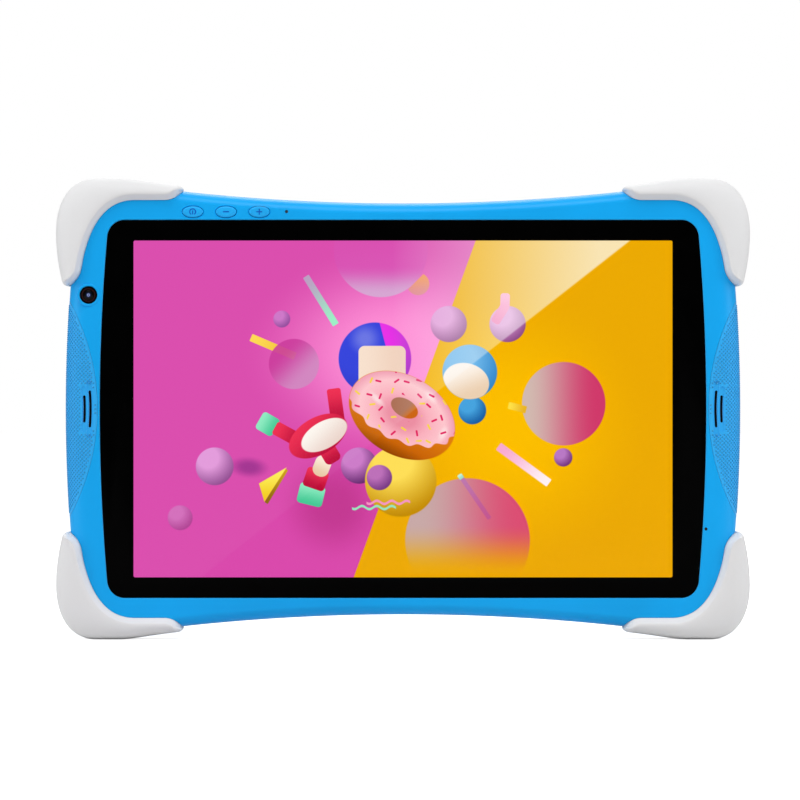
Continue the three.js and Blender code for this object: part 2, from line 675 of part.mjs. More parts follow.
add("wifi_antenna", block(56, 92, 79.6, 79.9, -4.5, 0.5), AMBER);
const displayRibbon = [
  [71.7, 5.35],
  [76.0, 5.35],
  [76.0, -0.6],
  [64.0, -0.6],
];
add("display_flex", ribbon(displayRibbon, 0.16, -19, -7), AMBER);
const keyRibbon = [
  [79.0, 1.35],
  [75.0, 1.35],
];
add("button_flex", ribbon(keyRibbon, 0.2, -50, -44), AMBER);
add("front_camera_flex", block(-123.2, -30.4, 43.6, 48.0, 2.9, 3.1), AMBER);
const batteryWire = [
  [-15, 24.2, 1.2],
  [-15, 27.5, 0.6],
  [-15, 31, -0.6],
  [-15, 34.3, -0.9],
];
add("battery_lead", wire(0.8, batteryWire), WIRE_RED);
const leftWire = [
  [-122.0, 8, 1],
  [-118, 14, 0.2],
  [-110, 38, 0.2],
  [-88, 58, 0.2],
  [-50, 62, -0.4],
  [-29.75, 59.5, -0.75],
];
add("speaker_lead_left", wire(0.6, leftWire), BLACK);
const rightWire = [
  [122.0, 8, 1],
  [118, 14, 0.2],
  [104, 32, 0.2],
  [86, 46, -0.2],
  [69.75, 48.5, -0.75],
];
add("speaker_lead_right", wire(0.6, rightWire), BLACK);

caseScrewPlaces.forEach(([x, y], i) => add(`case_screw_${i + 1}`, screw(2.1, 1.2, 0.9, -7.9, 11.5), STEEL, x, y));
BOARD_SCREWS.forEach(([x, y], i) => add(`board_screw_${i + 1}`, screw(1.7, 0.7, 0.7, -0.75, 3.8), STEEL, x, y));

// Stands the tablet up on its lower bumpers.
tablet.rotation.x = Math.PI / 2;
tablet.position.z = HALF_HEIGHT;

const part = new THREE.Group();
part.add(tablet);

export default part;
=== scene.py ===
"""The looks of a children's tablet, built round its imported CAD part: a blue two-part shell, four white
corner bumpers, dotted side grips, three oval keys, two cameras and a lit display."""

import math

import bmesh
import bpy
import numpy as np
from bpy.props import FloatProperty, FloatVectorProperty, PointerProperty
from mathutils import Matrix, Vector


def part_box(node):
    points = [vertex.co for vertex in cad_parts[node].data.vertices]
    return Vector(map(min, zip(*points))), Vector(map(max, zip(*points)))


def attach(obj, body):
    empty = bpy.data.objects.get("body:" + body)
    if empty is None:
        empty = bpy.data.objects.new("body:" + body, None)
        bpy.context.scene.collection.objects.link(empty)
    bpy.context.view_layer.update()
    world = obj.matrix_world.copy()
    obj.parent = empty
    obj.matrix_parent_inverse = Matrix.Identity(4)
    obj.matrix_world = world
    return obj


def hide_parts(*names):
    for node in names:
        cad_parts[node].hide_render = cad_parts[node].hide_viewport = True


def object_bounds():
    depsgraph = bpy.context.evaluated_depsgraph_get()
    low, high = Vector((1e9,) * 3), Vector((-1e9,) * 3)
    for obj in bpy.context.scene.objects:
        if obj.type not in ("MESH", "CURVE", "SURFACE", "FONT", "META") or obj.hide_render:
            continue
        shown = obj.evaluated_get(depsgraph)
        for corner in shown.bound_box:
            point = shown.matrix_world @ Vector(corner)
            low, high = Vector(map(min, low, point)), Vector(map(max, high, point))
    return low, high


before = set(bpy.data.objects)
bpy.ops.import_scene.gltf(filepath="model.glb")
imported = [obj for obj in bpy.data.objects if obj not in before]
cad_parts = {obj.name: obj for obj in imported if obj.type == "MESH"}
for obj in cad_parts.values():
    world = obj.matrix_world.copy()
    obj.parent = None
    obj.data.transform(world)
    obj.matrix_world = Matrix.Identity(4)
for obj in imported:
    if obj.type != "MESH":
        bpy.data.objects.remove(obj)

bl_info = {
    "name": "Kids Tablet",
    "version": (1, 0, 0),
    "blender": (4, 5, 0),
    "location": "View3D > Sidebar > Tablet",
    "description": "Builds the visible pieces of a children's tablet round its CAD frame",
    "category": "Object",
}

# ---- The frame -------------------------------------------------------------------------------------------
# Pieces are drawn in the tablet's own plane, in millimetres: x to the right, y up, z from the back towards
# the viewer, from the middle of the display. stand() puts such points in the frame, in metres.

MM = 0.001
FRAME_LOW, FRAME_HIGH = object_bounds()
MIDDLE = (FRAME_LOW.z + FRAME_HIGH.z) / 2
BODY = "case"
KEYS = {"power_key": "power", "volume_down_key": "volume_down", "volume_up_key": "volume_up"}  # by body
SCREWS = [f"case_screw_{i}" for i in range(1, 9)]


def stand(points):
    """Points of the tablet's plane, in the frame."""
    x, y, z = np.asarray(points, float).reshape(-1, 3).T
    return np.stack([x * MM, -z * MM, y * MM + MIDDLE], axis=1)


def node_box(node):
    """A CAD node's lowest and highest corners in the tablet's plane, in millimetres."""
    low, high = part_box(node)
    corner = lambda p, q: np.array([p.x, p.z - MIDDLE, -q.y]) / MM
    return corner(low, high), corner(high, low)


def node_middle(node):
    """The middle of a CAD node's box, in the tablet's plane."""
    low, high = node_box(node)
    return (low + high) / 2


# ---- Sizes shared by several pieces, in millimetres ------------------------------------------------------

HALF_WIDTH, HALF_HEIGHT, BUMPER_FACE = node_box("bumper_top_right")[1]
GRIP_OUTER = node_box("side_grip_right")[1][0]
SHELL = {
    "half_width": GRIP_OUTER,
    "half_height": 83.0,
    "side_radius": 680,  # the short sides bulge outwards
    "top_radius": 820,  # the long sides are hollowed
    "corner_x": 104,  # a corner's curve starts here on a long side
    "corner_y": 64,  # and here on a short side
    "corner_pull": 16,
    "front": node_box("side_grip_right")[1][2],
    "back": node_box("rear_cover")[0][2],
    "parting": 1.0,
    "parting_groove": 0.3,
    "back_belly": -3.5,  # where the rear cover's edge starts to turn in
    "front_roll": (10, 4.5),  # at the sides, and at the top and bottom
    "back_roll": (8, 4),
}
GLASS_LOW, GLASS_HIGH = node_box("cover_glass")
GLASS_CORNER = 7
GLASS_BULGE = 2.95  # how far the glass's sides stand out between their ends
GLASS_SPREAD = 0.2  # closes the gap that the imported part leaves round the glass
GRIP_RADIUS = 87.5
GRIP_EDGE = 123.0
GRIP_CENTRE = GRIP_EDGE + GRIP_RADIUS
SLOTS = ((125.75, 6.95, 10.4), (128.1, 4.95, 8.2))  # place, half length, half length of its groove
SLOT_WIDTH = 1.05
GROOVE_WIDTH = 1.9
GROOVE_DEPTH = 0.25
SLOT_FLOOR = 2  # the slots and the small holes start above this height
SLOT_FIELD = {"from": 124.2, "to": 129.6, "half_length": 10, "above": 5}  # no dots round the slots
GRIP_THICK = 0.9
GRIP_PROUD = 0.02
SEAT = 1.3  # how far the bumpers' seats go into the shell
BUMPER_GAP = 0.2  # between a seat's floor and the bumper
WALL = 3.0
FACE_WALLS = (2.1, 2.0)  # behind the front face and behind the back
FAR = 60  # past every surface, for cutting tools
EDGE = 0.01  # a flare starts this far outside the surface

INDICATOR = node_middle("indicator_light_pipe")
MICROPHONE = node_middle("microphone_boot")
FRONT_CAMERA = node_middle("front_camera_window")
REAR_CAMERA = node_middle("rear_camera_window")

# ---- Outlines --------------------------------------------------------------------------------------------


def bezier(corners, count):
    """Points along a Bezier curve of any degree, without its last one."""
    t = np.linspace(0, 1, count, endpoint=False)[:, None]
    curve = [np.array(corner, float) + 0 * t for corner in corners]
    while len(curve) > 1:
        curve = [a + (b - a) * t for a, b in zip(curve, curve[1:])]
    return curve[0]


def four_fold(quarter):
    """A closed outline, anticlockwise, from its points between the positive x and y axes."""
    upper = np.vstack([quarter, (quarter * (-1, 1))[::-1]])
    return without_repeats(np.vstack([upper, -upper]))


def without_repeats(points):
    """Drops each point that lies on the one before it."""
    step = np.linalg.norm(points - np.roll(points, 1, axis=0), axis=1)
    return points[step > 1e-6]


def side_x(y):
    """The shell's right side at one height."""
    return SHELL["half_width"] - y * y / (2 * SHELL["side_radius"])


def top_y(x):
    """The shell's upper side at one place across."""
    return SHELL["half_height"] + x * x / (2 * SHELL["top_radius"])


def shell_outline():
    """The shell's edge: bulging short sides, hollowed long sides and wide corners."""
    cx, cy, pull = SHELL["corner_x"], SHELL["corner_y"], SHELL["corner_pull"]
    y = np.linspace(0, cy, 40, endpoint=False)
    side = np.stack([side_x(y), y], axis=1)
    rise, lean = cx / SHELL["top_radius"] * pull, cy / SHELL["side_radius"] * pull
    end, start = (side_x(cy), cy), (cx, top_y(cx))
    corner = bezier([end, (end[0] - lean, cy + pull), (cx + pull, start[1] + rise), start], 40)
    x = np.linspace(cx, 0, 50)
    return four_fold(np.vstack([side, corner, np.stack([x, top_y(x)], axis=1)]))


def glass_outline():
    """The cover glass's edge: bowed short sides and tight corners."""
    half_width, top = GLASS_HIGH[0] + GLASS_SPREAD, GLASS_HIGH[1] + GLASS_SPREAD
    low = top - GLASS_CORNER
    y = np.linspace(0, low, 30, endpoint=False)
    side = half_width - GLASS_BULGE * (y / low) ** 2
    x_end = half_width - GLASS_BULGE
    pull = 0.45 * GLASS_CORNER
    start = (x_end - GLASS_CORNER, top)
    corner = bezier([(x_end, low), (x_end - 0.2, top - pull), (x_end - pull, top), start], 20)
    return four_fold(np.vstack([np.stack([side, y], axis=1), corner, [start, (0, top)]]))


def rounded_rectangle(width, height, radius, count=8):
    angle = np.linspace(0, math.pi / 2, count + 1)
    arc = np.stack([np.cos(angle), np.sin(angle)], axis=1) * radius
    return four_fold(arc + (width / 2 - radius, height / 2 - radius))


def ellipse(half_width, half_height, count=64):
    angle = np.linspace(0, 2 * math.pi, count, endpoint=False)
    return np.stack([half_width * np.cos(angle), half_height * np.sin(angle)], axis=1)


def normals_of(points):
    """Outward normals of an anticlockwise outline, longer where a corner is sharper."""
    along = points - np.roll(points, 1, axis=0)
    along /= np.linalg.norm(along, axis=1, keepdims=True)
    both = along + np.roll(along, -1, axis=0)
    normal = np.stack([both[:, 1], -both[:, 0]], axis=1)
    normal /= np.linalg.norm(normal, axis=1, keepdims=True)
    cosine = normal[:, 0] * along[:, 1] - normal[:, 1] * along[:, 0]
    return normal / np.maximum(0.5, cosine)[:, None]


def at_height(points, z):
    return np.column_stack([points, np.broadcast_to(z, len(points))])


def lengths_along(line):
    """How far along an open line each of its points is."""
    return np.concatenate([[0], np.cumsum(np.linalg.norm(np.diff(line, axis=0), axis=1))])


# ---- Meshes ----------------------------------------------------------------------------------------------


def mesh_piece(name, mesh, material=None):
    """A mesh's object, in the scene."""
    if material:
        mesh.materials.append(material)
    piece = bpy.data.objects.new(name, mesh)
    bpy.context.scene.collection.objects.link(piece)
    return piece


def loft(name, rings, material=None):
    """A closed solid through a stack of rings with the same count of points, from the back to the front."""
    count = len(rings[0])
    here = np.arange(count)
    after = np.roll(here, -1)
    faces = [here[::-1].tolist(), (here + count * (len(rings) - 1)).tolist()]
    for level in range(len(rings) - 1):
        a, b = here + level * count, after + level * count
        faces += np.stack([a, b, b + count, a + count], axis=1).tolist()
    mesh = bpy.data.meshes.new(name)
    mesh.from_pydata(stand(np.vstack(rings)).tolist(), [], faces)
    return mesh_piece(name, mesh, material)


def extrude(name, outline, back, front):
    """A straight column between two heights."""
    return loft(name, [at_height(outline, back), at_height(outline, front)])


def stack(name, outline, levels, material=None):
    """A loft of one outline, grown outwards by a distance at each height: levels is [(distance, z)]."""
    normal = normals_of(outline)
    return loft(name, [at_height(outline + normal * grown, z) for grown, z in levels], material)


def revolve(name, profile, x=0.0, y=0.0, count=48):
    """A turned solid about an axis along z, from (radius, z) pairs that go from the back to the front."""
    circle = ellipse(1, 1, count)
    return loft(name, [at_height(circle * radius + (x, y), z) for radius, z in profile])


def pipe(radius, back, front, x, y, count=32):
    return revolve("pipe", [(radius, back), (radius, front)], x, y, count)


def joined(pieces, name):
    """One object that holds all these meshes. The first one's materials come first."""
    materials = []
    work = bmesh.new()
    for piece in pieces:
        before = len(work.faces)
        work.from_mesh(piece.data)
        work.faces.ensure_lookup_table()
        own = list(piece.data.materials)
        materials += [m for m in own if m not in materials]
        for face in work.faces[before:]:
            face.material_index = materials.index(own[face.material_index])
    mesh = bpy.data.meshes.new(name)
    work.to_mesh(mesh)
    work.free()
    for material in materials:
        mesh.materials.append(material)
    for piece in pieces:
        bpy.data.objects.remove(piece)
    return mesh_piece(name, mesh)


def settle(piece):
    """Turns what the modifiers make into the piece's own mesh, and removes them."""
    bpy.context.view_layer.update()
    graph = bpy.context.evaluated_depsgraph_get()
    mesh = bpy.data.meshes.new_from_object(piece.evaluated_get(graph), depsgraph=graph)
    piece.modifiers.clear()
    piece.data = mesh
    return piece


def boolean(piece, tools, operation):
    """Joins or cuts a piece with closed tools, one after the other, and removes the tools."""
    for tool in tools:
        change = piece.modifiers.new("Boolean", "BOOLEAN")
        change.operation, change.solver, change.object = operation, "MANIFOLD", tool
    settle(piece)
    for tool in tools:
        bpy.data.objects.remove(tool)
    if not piece.data.polygons:
        raise RuntimeError(f"{piece.name} has nothing left after a cut")
    return piece


def cut(piece, *tools):
    return boolean(piece, list(tools), "DIFFERENCE")


def merged(piece, *tools):
    return boolean(piece, list(tools), "UNION")


def common(piece, *tools):
    return boolean(piece, list(tools), "INTERSECT")


def smooth(piece, angle=32):
    """Shades a piece smooth, with creases at turns sharper than an angle in degrees."""
    piece.data.shade_smooth()
    piece.data.set_sharp_from_angle(angle=math.radians(angle))
    return piece


def mirror_image(piece, name, flip_x=False, flip_y=False):
    """A copy mirrored left to right or upside down, with its faces still pointing out."""
    mesh = piece.data.copy()
    points = np.empty(len(mesh.vertices) * 3)
    mesh.vertices.foreach_get("co", points)
    points = points.reshape(-1, 3)
    if flip_x:
        points[:, 0] *= -1
    if flip_y:
        points[:, 2] = 2 * MIDDLE - points[:, 2]
    mesh.vertices.foreach_set("co", points.ravel())
    if flip_x != flip_y:
        mesh.flip_normals()
    mesh.update()
    return mesh_piece(name, mesh)


def coat(piece, material):
    """Gives every face of a piece one material."""
    piece.data.materials.clear()
    piece.data.materials.append(material)
    piece.data.polygons.foreach_set("material_index", np.zeros(len(piece.data.polygons), np.int32))
    return piece


def outward(piece):
    """Points every face of a closed mesh away from its inside."""
    work = bmesh.new()
    work.from_mesh(piece.data)
    bmesh.ops.remove_doubles(work, verts=work.verts, dist=1e-6)
    bmesh.ops.recalc_face_normals(work, faces=work.faces)
    if work.calc_volume(signed=True) < 0:
        bmesh.ops.reverse_faces(work, faces=work.faces)
    work.to_mesh(piece.data)
    work.free()
    return piece


def stands_for(piece, slot, *nodes, body=BODY):
    """Makes a finished piece ride on its body in place of CAD nodes."""
    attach(piece, body)
    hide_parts(*nodes)
    return piece


def finish_piece(piece, material, slot, *nodes, body=BODY, angle=32):
    """Gives a piece its material and shading, and puts it in place of CAD nodes."""
    return stands_for(smooth(coat(piece, material), angle), slot, *nodes, body=body)


def dress(node, material):
    """Gives a carried-over CAD node a material."""
    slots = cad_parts[node].data.materials
    slots.clear()
    slots.append(material)


# ---- The shell's surface ---------------------------------------------------------------------------------


def shell_slab(name, inset=0.0, front_inset=None, back_inset=None, steps=12):
    """The whole tablet as one slab with elliptically rounded edges, smaller by an inset on every side.

    The front and back faces may have insets of their own."""
    front_inset = inset if front_inset is None else front_inset
    back_inset = inset if back_inset is None else back_inset
    outline = shell_outline()
    outline = outline - normals_of(outline) * inset
    normal = normals_of(outline)
    sideways = np.minimum(1, normal[:, 0] ** 2)
    front, back = SHELL["front"] - front_inset, SHELL["back"] + back_inset

    def ring(face, belly, roll, angle):
        """One level of the edge, at an angle from its widest place up to the face."""
        reach = np.maximum(1, roll[1] + (roll[0] - roll[1]) * sideways - inset)
        inward = reach * (1 - math.cos(angle))
        height = belly + (face - belly) * math.sin(angle)
        return at_height(outline - normal * inward[:, None], height)

    angles = np.linspace(0, math.pi / 2, steps + 1)
    rings = [ring(back, SHELL["back_belly"], SHELL["back_roll"], a) for a in angles[::-1]]
    rings += [ring(front, SHELL["parting"], SHELL["front_roll"], a) for a in angles]
    return loft(name, rings)


def slab_between(name, back, front):
    """A plate larger than the tablet, between two heights."""
    return extrude(name, rounded_rectangle(8 * FAR, 4 * FAR, 1), back, front)


def grip_region(name, extra=0.0):
    """A cylinder that covers the left grip."""
    circle = ellipse(GRIP_RADIUS + extra, GRIP_RADIUS + extra, 360)
    return extrude(name, circle - (GRIP_CENTRE, 0), -FAR, FAR)


def arc_strip(name, x, half_length, width, back, front):
    """A strip with round ends that follows the grip's edge."""
    radius = GRIP_CENTRE - x
    half = math.asin(half_length / radius)
    sweep = np.linspace(-half, half, 24)
    turn = np.linspace(0, math.pi, 9)[1:-1]
    arc = lambda reach, angles: reach * np.stack([np.cos(angles), np.sin(angles)], axis=-1)
    parts = [
        arc(radius + width / 2, sweep),
        arc(radius, half) + arc(width / 2, half + turn),
        arc(radius - width / 2, sweep[::-1]),
        arc(radius, -half) + arc(width / 2, math.pi - half + turn),
    ]
    return extrude(name, np.vstack(parts) - (GRIP_CENTRE, 0), back, front)


def both_sides(piece):
    """A piece on the left with its mirror image on the right."""
    return [piece, mirror_image(piece, piece.name + "_right", flip_x=True)]


def every_corner(piece):
    """A piece at the upper left with its mirror images at the other corners."""
    flips = ((True, False), (False, True), (True, True))
    return [piece, *(mirror_image(piece, piece.name, flip_x=x, flip_y=y) for x, y in flips)]


# ---- Bumper outline --------------------------------------------------------------------------------------

TOP_TIP, SIDE_TIP = (-88.9, 87.7), (-134.6, 49.5)
INNER_LEVEL = 84.1  # the top arm's inner edge


def bumper_edges():
    """The upper left bumper's inner edge from tip to tip, starting at the top, and its outer edge back."""
    inner = np.vstack([
        bezier([TOP_TIP, (-91.9, INNER_LEVEL + 0.05), (-96.0, INNER_LEVEL)], 24),
        bezier([(-96.0, INNER_LEVEL), (-107.9, INNER_LEVEL)], 16),
        bezier([(-107.9, INNER_LEVEL), (-119.0, INNER_LEVEL), (-125.3, 75.5), (-128.7, 61.0)], 70),
        bezier([(-128.7, 61.0), (-129.5, 56.6)], 8),
        bezier([(-129.5, 56.6), (-130.2, 52.4), SIDE_TIP], 24),
    ])
    w, h = HALF_WIDTH, HALF_HEIGHT
    outer = np.vstack([
        bezier([SIDE_TIP, (-136.5, 49.4), (-137.3, 51.0)], 14),
        bezier([(-137.3, 51.0), (-138.8, 57.0), (-w, 64.0), (-w, 71.0)], 36),
        bezier([(-w, 71.0), (-w, 83.5), (-134.5, h), (-123.5, h)], 60),
        bezier([(-123.5, h), (-115.5, h)], 10),
        bezier([(-115.5, h), (-109.0, h), (-104.0, 91.5), (-91.5, 90.1)], 40),
        bezier([(-91.5, 90.1), (-89.4, 89.9), (-88.2, 89.0), TOP_TIP], 14),
    ])
    return inner, outer


def bumper_region(name, extra):
    """A column that covers the upper left bumper, wider by an extra on every side."""
    outline = np.vstack(bumper_edges())[::-1]
    return extrude(name, outline + normals_of(outline) * extra, -FAR, FAR)


# ---- Shader expressions ----------------------------------------------------------------------------------


def tint(code):
    """A colour written as six hexadecimal digits, as linear red, green, blue and alpha."""
    parts = [int(code[i : i + 2], 16) / 255 for i in (0, 2, 4)]
    return (*(p / 12.92 if p <= 0.04045 else ((p + 0.055) / 1.055) ** 2.4 for p in parts), 1.0)


class Wire:
    """A value in a material. Arithmetic on it adds Math nodes."""

    def __init__(self, finish, socket):
        self.finish, self.socket = finish, socket

    def maths(self, operation, *others, clamp=False):
        settings = {"operation": operation, "use_clamp": clamp}
        return self.finish.node("ShaderNodeMath", settings, dict(enumerate((self, *others))))

    def __add__(self, other):
        return self.maths("ADD", other)

    def __sub__(self, other):
        return self.maths("SUBTRACT", other)

    def __rsub__(self, other):
        return self.maths("MULTIPLY_ADD", -1.0, other)

    def __mul__(self, other):
        return self.maths("MULTIPLY", other)

    def __truediv__(self, other):
        return self.maths("DIVIDE", other)

    def __abs__(self):
        return self.maths("ABSOLUTE")

    __radd__, __rmul__ = __add__, __mul__

    def clamped(self):
        """Kept between 0 and 1."""
        return self.maths("ADD", 0.0, clamp=True)

    def eased(self, low, high):
        """0 below low, 1 above high, with a smooth change between."""
        settings = {"interpolation_type": "SMOOTHSTEP"}
        values = {"Value": self, "From Min": low, "From Max": high}
        return self.finish.node("ShaderNodeMapRange", settings, values)


class Finish:
    """A material with one Principled shader."""

    def __init__(self, name, **sockets):
        self.material = bpy.data.materials.new(name)
        self.material.use_nodes = True
        self.tree = self.material.node_tree
        self.shader = self.tree.nodes["Principled BSDF"]
        self.wear(**sockets)

    def wear(self, **sockets):
        """Sets or links the shader's own sockets."""
        self.feed(self.shader, {key.replace("_", " "): value for key, value in sockets.items()})
        return self

    def feed(self, node, inputs):
        """Sets or links a node's sockets, named by their title, identifier or place in the list."""
        for key, value in inputs.items():
            sockets = node.inputs
            socket = sockets[key] if isinstance(key, int) else next(
                s for s in sockets if key in (s.identifier, s.name)
            )
            if isinstance(value, Wire):
                self.tree.links.new(value.socket, socket)
            else:
                socket.default_value = value

    def node(self, kind, settings=None, inputs=None, output=0):
        """Adds a node, with its settings before its inputs, and gives one of its outputs."""
        made = self.tree.nodes.new(kind)
        for name, value in (settings or {}).items():
            if name == "stops":
                self.fill_ramp(made.color_ramp, value)
            else:
                setattr(made, name, value)
        self.feed(made, inputs or {})
        return Wire(self, made.outputs[output])

    @staticmethod
    def fill_ramp(ramp, stops):
        """Gives a colour ramp its (place, colour) stops."""
        ramp.elements[0].position, ramp.elements[-1].position = stops[0][0], stops[-1][0]
        for place, _ in stops[1:-1]:
            ramp.elements.new(place)
        for element, (_, colour) in zip(ramp.elements, stops):
            element.color = colour

    def place(self):
        """Object coordinates."""
        return self.node("ShaderNodeTexCoord", output=3)

    def part(self, vector, axis):
        """One number of a vector, by its place in it."""
        return self.node("ShaderNodeSeparateXYZ", {}, {0: vector}, axis)

    def ramp(self, value, stops):
        return self.node("ShaderNodeValToRGB", {"stops": stops}, {0: value})

    def mix(self, share, under, over):
        """Colour under where share is 0, and over where it is 1."""
        values = {"Factor_Float": share, "A_Color": under, "B_Color": over}
        return self.node("ShaderNodeMix", {"data_type": "RGBA"}, values, output=2)

    def noise(self, size, detail=2.0, stretch=None):
        """Noise from 0 to 1 whose blotches are about size millimetres across."""
        where = self.place()
        if stretch:
            where = self.node("ShaderNodeMapping", {}, {"Vector": where, "Scale": stretch})
        values = {"Vector": where, "Scale": 1 / (size * MM), "Detail": detail}
        return self.node("ShaderNodeTexNoise", {}, values)

    def bump(self, height, depth):
        """A normal from a height of 0 to 1, with its depth in millimetres."""
        return self.node("ShaderNodeBump", {}, {"Height": height, "Distance": depth * MM, "Strength": 1.0})


def scaled(colour, by):
    """A brighter or darker colour, opaque."""
    return (*(min(1.0, c * by) for c in colour[:3]), 1.0)


# ---- Materials -------------------------------------------------------------------------------------------


def moulded(name, colour, roughness, grain=0.35, depth=0.012, spread=0.04, **more):
    """Moulded plastic: faint flow marks in the colour, and a fine grain in gloss and height."""
    finish = Finish(name, **more)
    flow = finish.noise(38, 2, (1, 1, 0.4))
    fine = finish.noise(grain, 3)
    body = finish.mix(flow.eased(0.3, 0.7), scaled(colour, 1 - spread), scaled(colour, 1 + spread))
    speckled = finish.mix(fine * 0.12, body, scaled(colour, 0.8))
    gloss = fine * 0.1 + (flow * 0.06 + (roughness - 0.08))
    return finish.wear(Base_Color=speckled, Roughness=gloss, Normal=finish.bump(fine, depth)).material


def blue_shell_plastic():
    """Satin plastic whose rounded edges catch a little pale light."""
    look = bpy.context.scene.tablet_shell
    return moulded("blue_shell_plastic", scaled(look.colour, 1), look.roughness,
                   Specular_IOR_Level=look.shine, Sheen_Weight=look.sheen, Sheen_Roughness=0.3)


def blue_key_plastic():
    """The keys' plastic, a little smoother than the shell's."""
    look = bpy.context.scene.tablet_keys
    return moulded("blue_key_plastic", scaled(look.colour, 1), 0.4, depth=0.006, Specular_IOR_Level=0.25)


def symbol_painted_shade():
    """Deep blue on the floor and walls of the engraved symbols: painted shade for the recesses."""
    return moulded("deep_blue_symbol_paint", tint("1460d8"), 0.5, depth=0.004, Specular_IOR_Level=0.2)


def blue_grip_rubber(name="blue_grip_rubber", shade=1.0):
    """Soft rubber. The dots get a darker copy of it: painted shade that stands in for the shadow between
    them.
    """
    look = bpy.context.scene.tablet_grips
    return moulded(name, scaled(look.colour, shade), 0.5, grain=0.25, depth=0.01,
                   Specular_IOR_Level=0.3, Sheen_Weight=look.sheen, Sheen_Roughness=0.35)


def white_silicone():
    """Matt silicone: nearly even, with a faint bloom in its gloss and a very fine skin."""
    look = bpy.context.scene.tablet_bumpers
    return moulded("white_silicone", scaled(look.colour, 1), 0.62, grain=0.5, depth=0.01, spread=0.012,
                   Specular_IOR_Level=0.2, Sheen_Weight=0.05)


def black_border():
    """Ink behind the polished edge of the glass."""
    finish = Finish("black_glass_border", Specular_IOR_Level=0.02)
    haze = finish.noise(9, 2)
    colour = finish.mix(haze, tint("000000"), tint("020202"))
    return finish.wear(Base_Color=colour, Roughness=haze * 0.03 + 0.05).material


def clear_glass():
    """Glass with a non-glare coat: what's behind shows through, with a faint gloss."""
    finish = Finish("clear_window_glass")
    white = (1, 1, 1, 1)
    finish.tree.nodes.remove(finish.shader)
    smudge = finish.noise(14, 3) * 0.05 + 0.03
    shine = finish.node("ShaderNodeFresnel", {}, {"IOR": 1.25}) * 0.15
    through = finish.node("ShaderNodeBsdfTransparent", {}, {"Color": white})
    gloss = finish.node("ShaderNodeBsdfGlossy", {}, {"Color": white, "Roughness": smudge})
    both = finish.node("ShaderNodeMixShader", {}, {0: shine, 1: through, 2: gloss})
    finish.feed(finish.tree.nodes["Material Output"], {"Surface": both})
    return finish.material


def metal(name, colour, roughness, streak=(1, 1, 1)):
    """Sheet metal with a fine grain, drawn out where streak stretches it."""
    finish = Finish(name, Metallic=1.0)
    grain = finish.noise(0.6, 3, streak)
    shade = finish.mix(grain, scaled(colour, 0.82), scaled(colour, 1.08))
    gloss = grain * 0.16 + (roughness - 0.08)
    return finish.wear(Base_Color=shade, Roughness=gloss, Normal=finish.bump(grain, 0.01)).material


def circuit_board(name):
    """Green lacquer over fine copper tracks."""
    finish = Finish(name, Specular_IOR_Level=0.5)
    place, pitch = finish.place(), 1.2 * MM
    tracks = (finish.part(place, 0) / pitch).maths("FRACT").maths("GREATER_THAN", 0.62)
    rows = (finish.part(place, 2) / (pitch * 7)).maths("FRACT").maths("GREATER_THAN", 0.5)
    copper = tracks * rows * finish.noise(6, 1).eased(0.45, 0.55)
    colour = finish.mix(copper * 0.7, tint("14502c"), tint("2f7a3f"))
    relief = finish.bump(copper, 0.03)
    return finish.wear(Base_Color=colour, Roughness=copper * 0.1 + 0.35, Normal=relief).material


def woven_mesh(name):
    """Black cloth with a plain weave."""
    finish = Finish(name, Roughness=0.9)
    place, pitch = finish.place(), 0.4 * MM
    across, up = ((finish.part(place, axis) * (2 * math.pi / pitch)).maths("SINE") for axis in (0, 2))
    weave = across * up
    colour = finish.mix(weave.eased(-0.5, 0.5), tint("060606"), tint("262626"))
    return finish.wear(Base_Color=colour, Normal=finish.bump(weave, 0.05)).material


def printed_foil(name):
    """A battery's laminated foil with its sealed, slightly creased skin."""
    finish = Finish(name, Metallic=0.85)
    crease = finish.noise(18, 4, (1, 1, 3))
    colour = finish.mix(crease, tint("8d8f94"), tint("c2c4c8"))
    relief = finish.bump(crease, 0.3)
    return finish.wear(Base_Color=colour, Roughness=crease * 0.2 + 0.25, Normal=relief).material


# ---- The lit picture -------------------------------------------------------------------------------------

DISPLAY_GAMMA = 2.2


def ink(code):
    """A colour written as six hexadecimal digits, as display values from 0 to 1."""
    return (*(int(code[i : i + 2], 16) / 255 for i in (0, 2, 4)), 1.0)


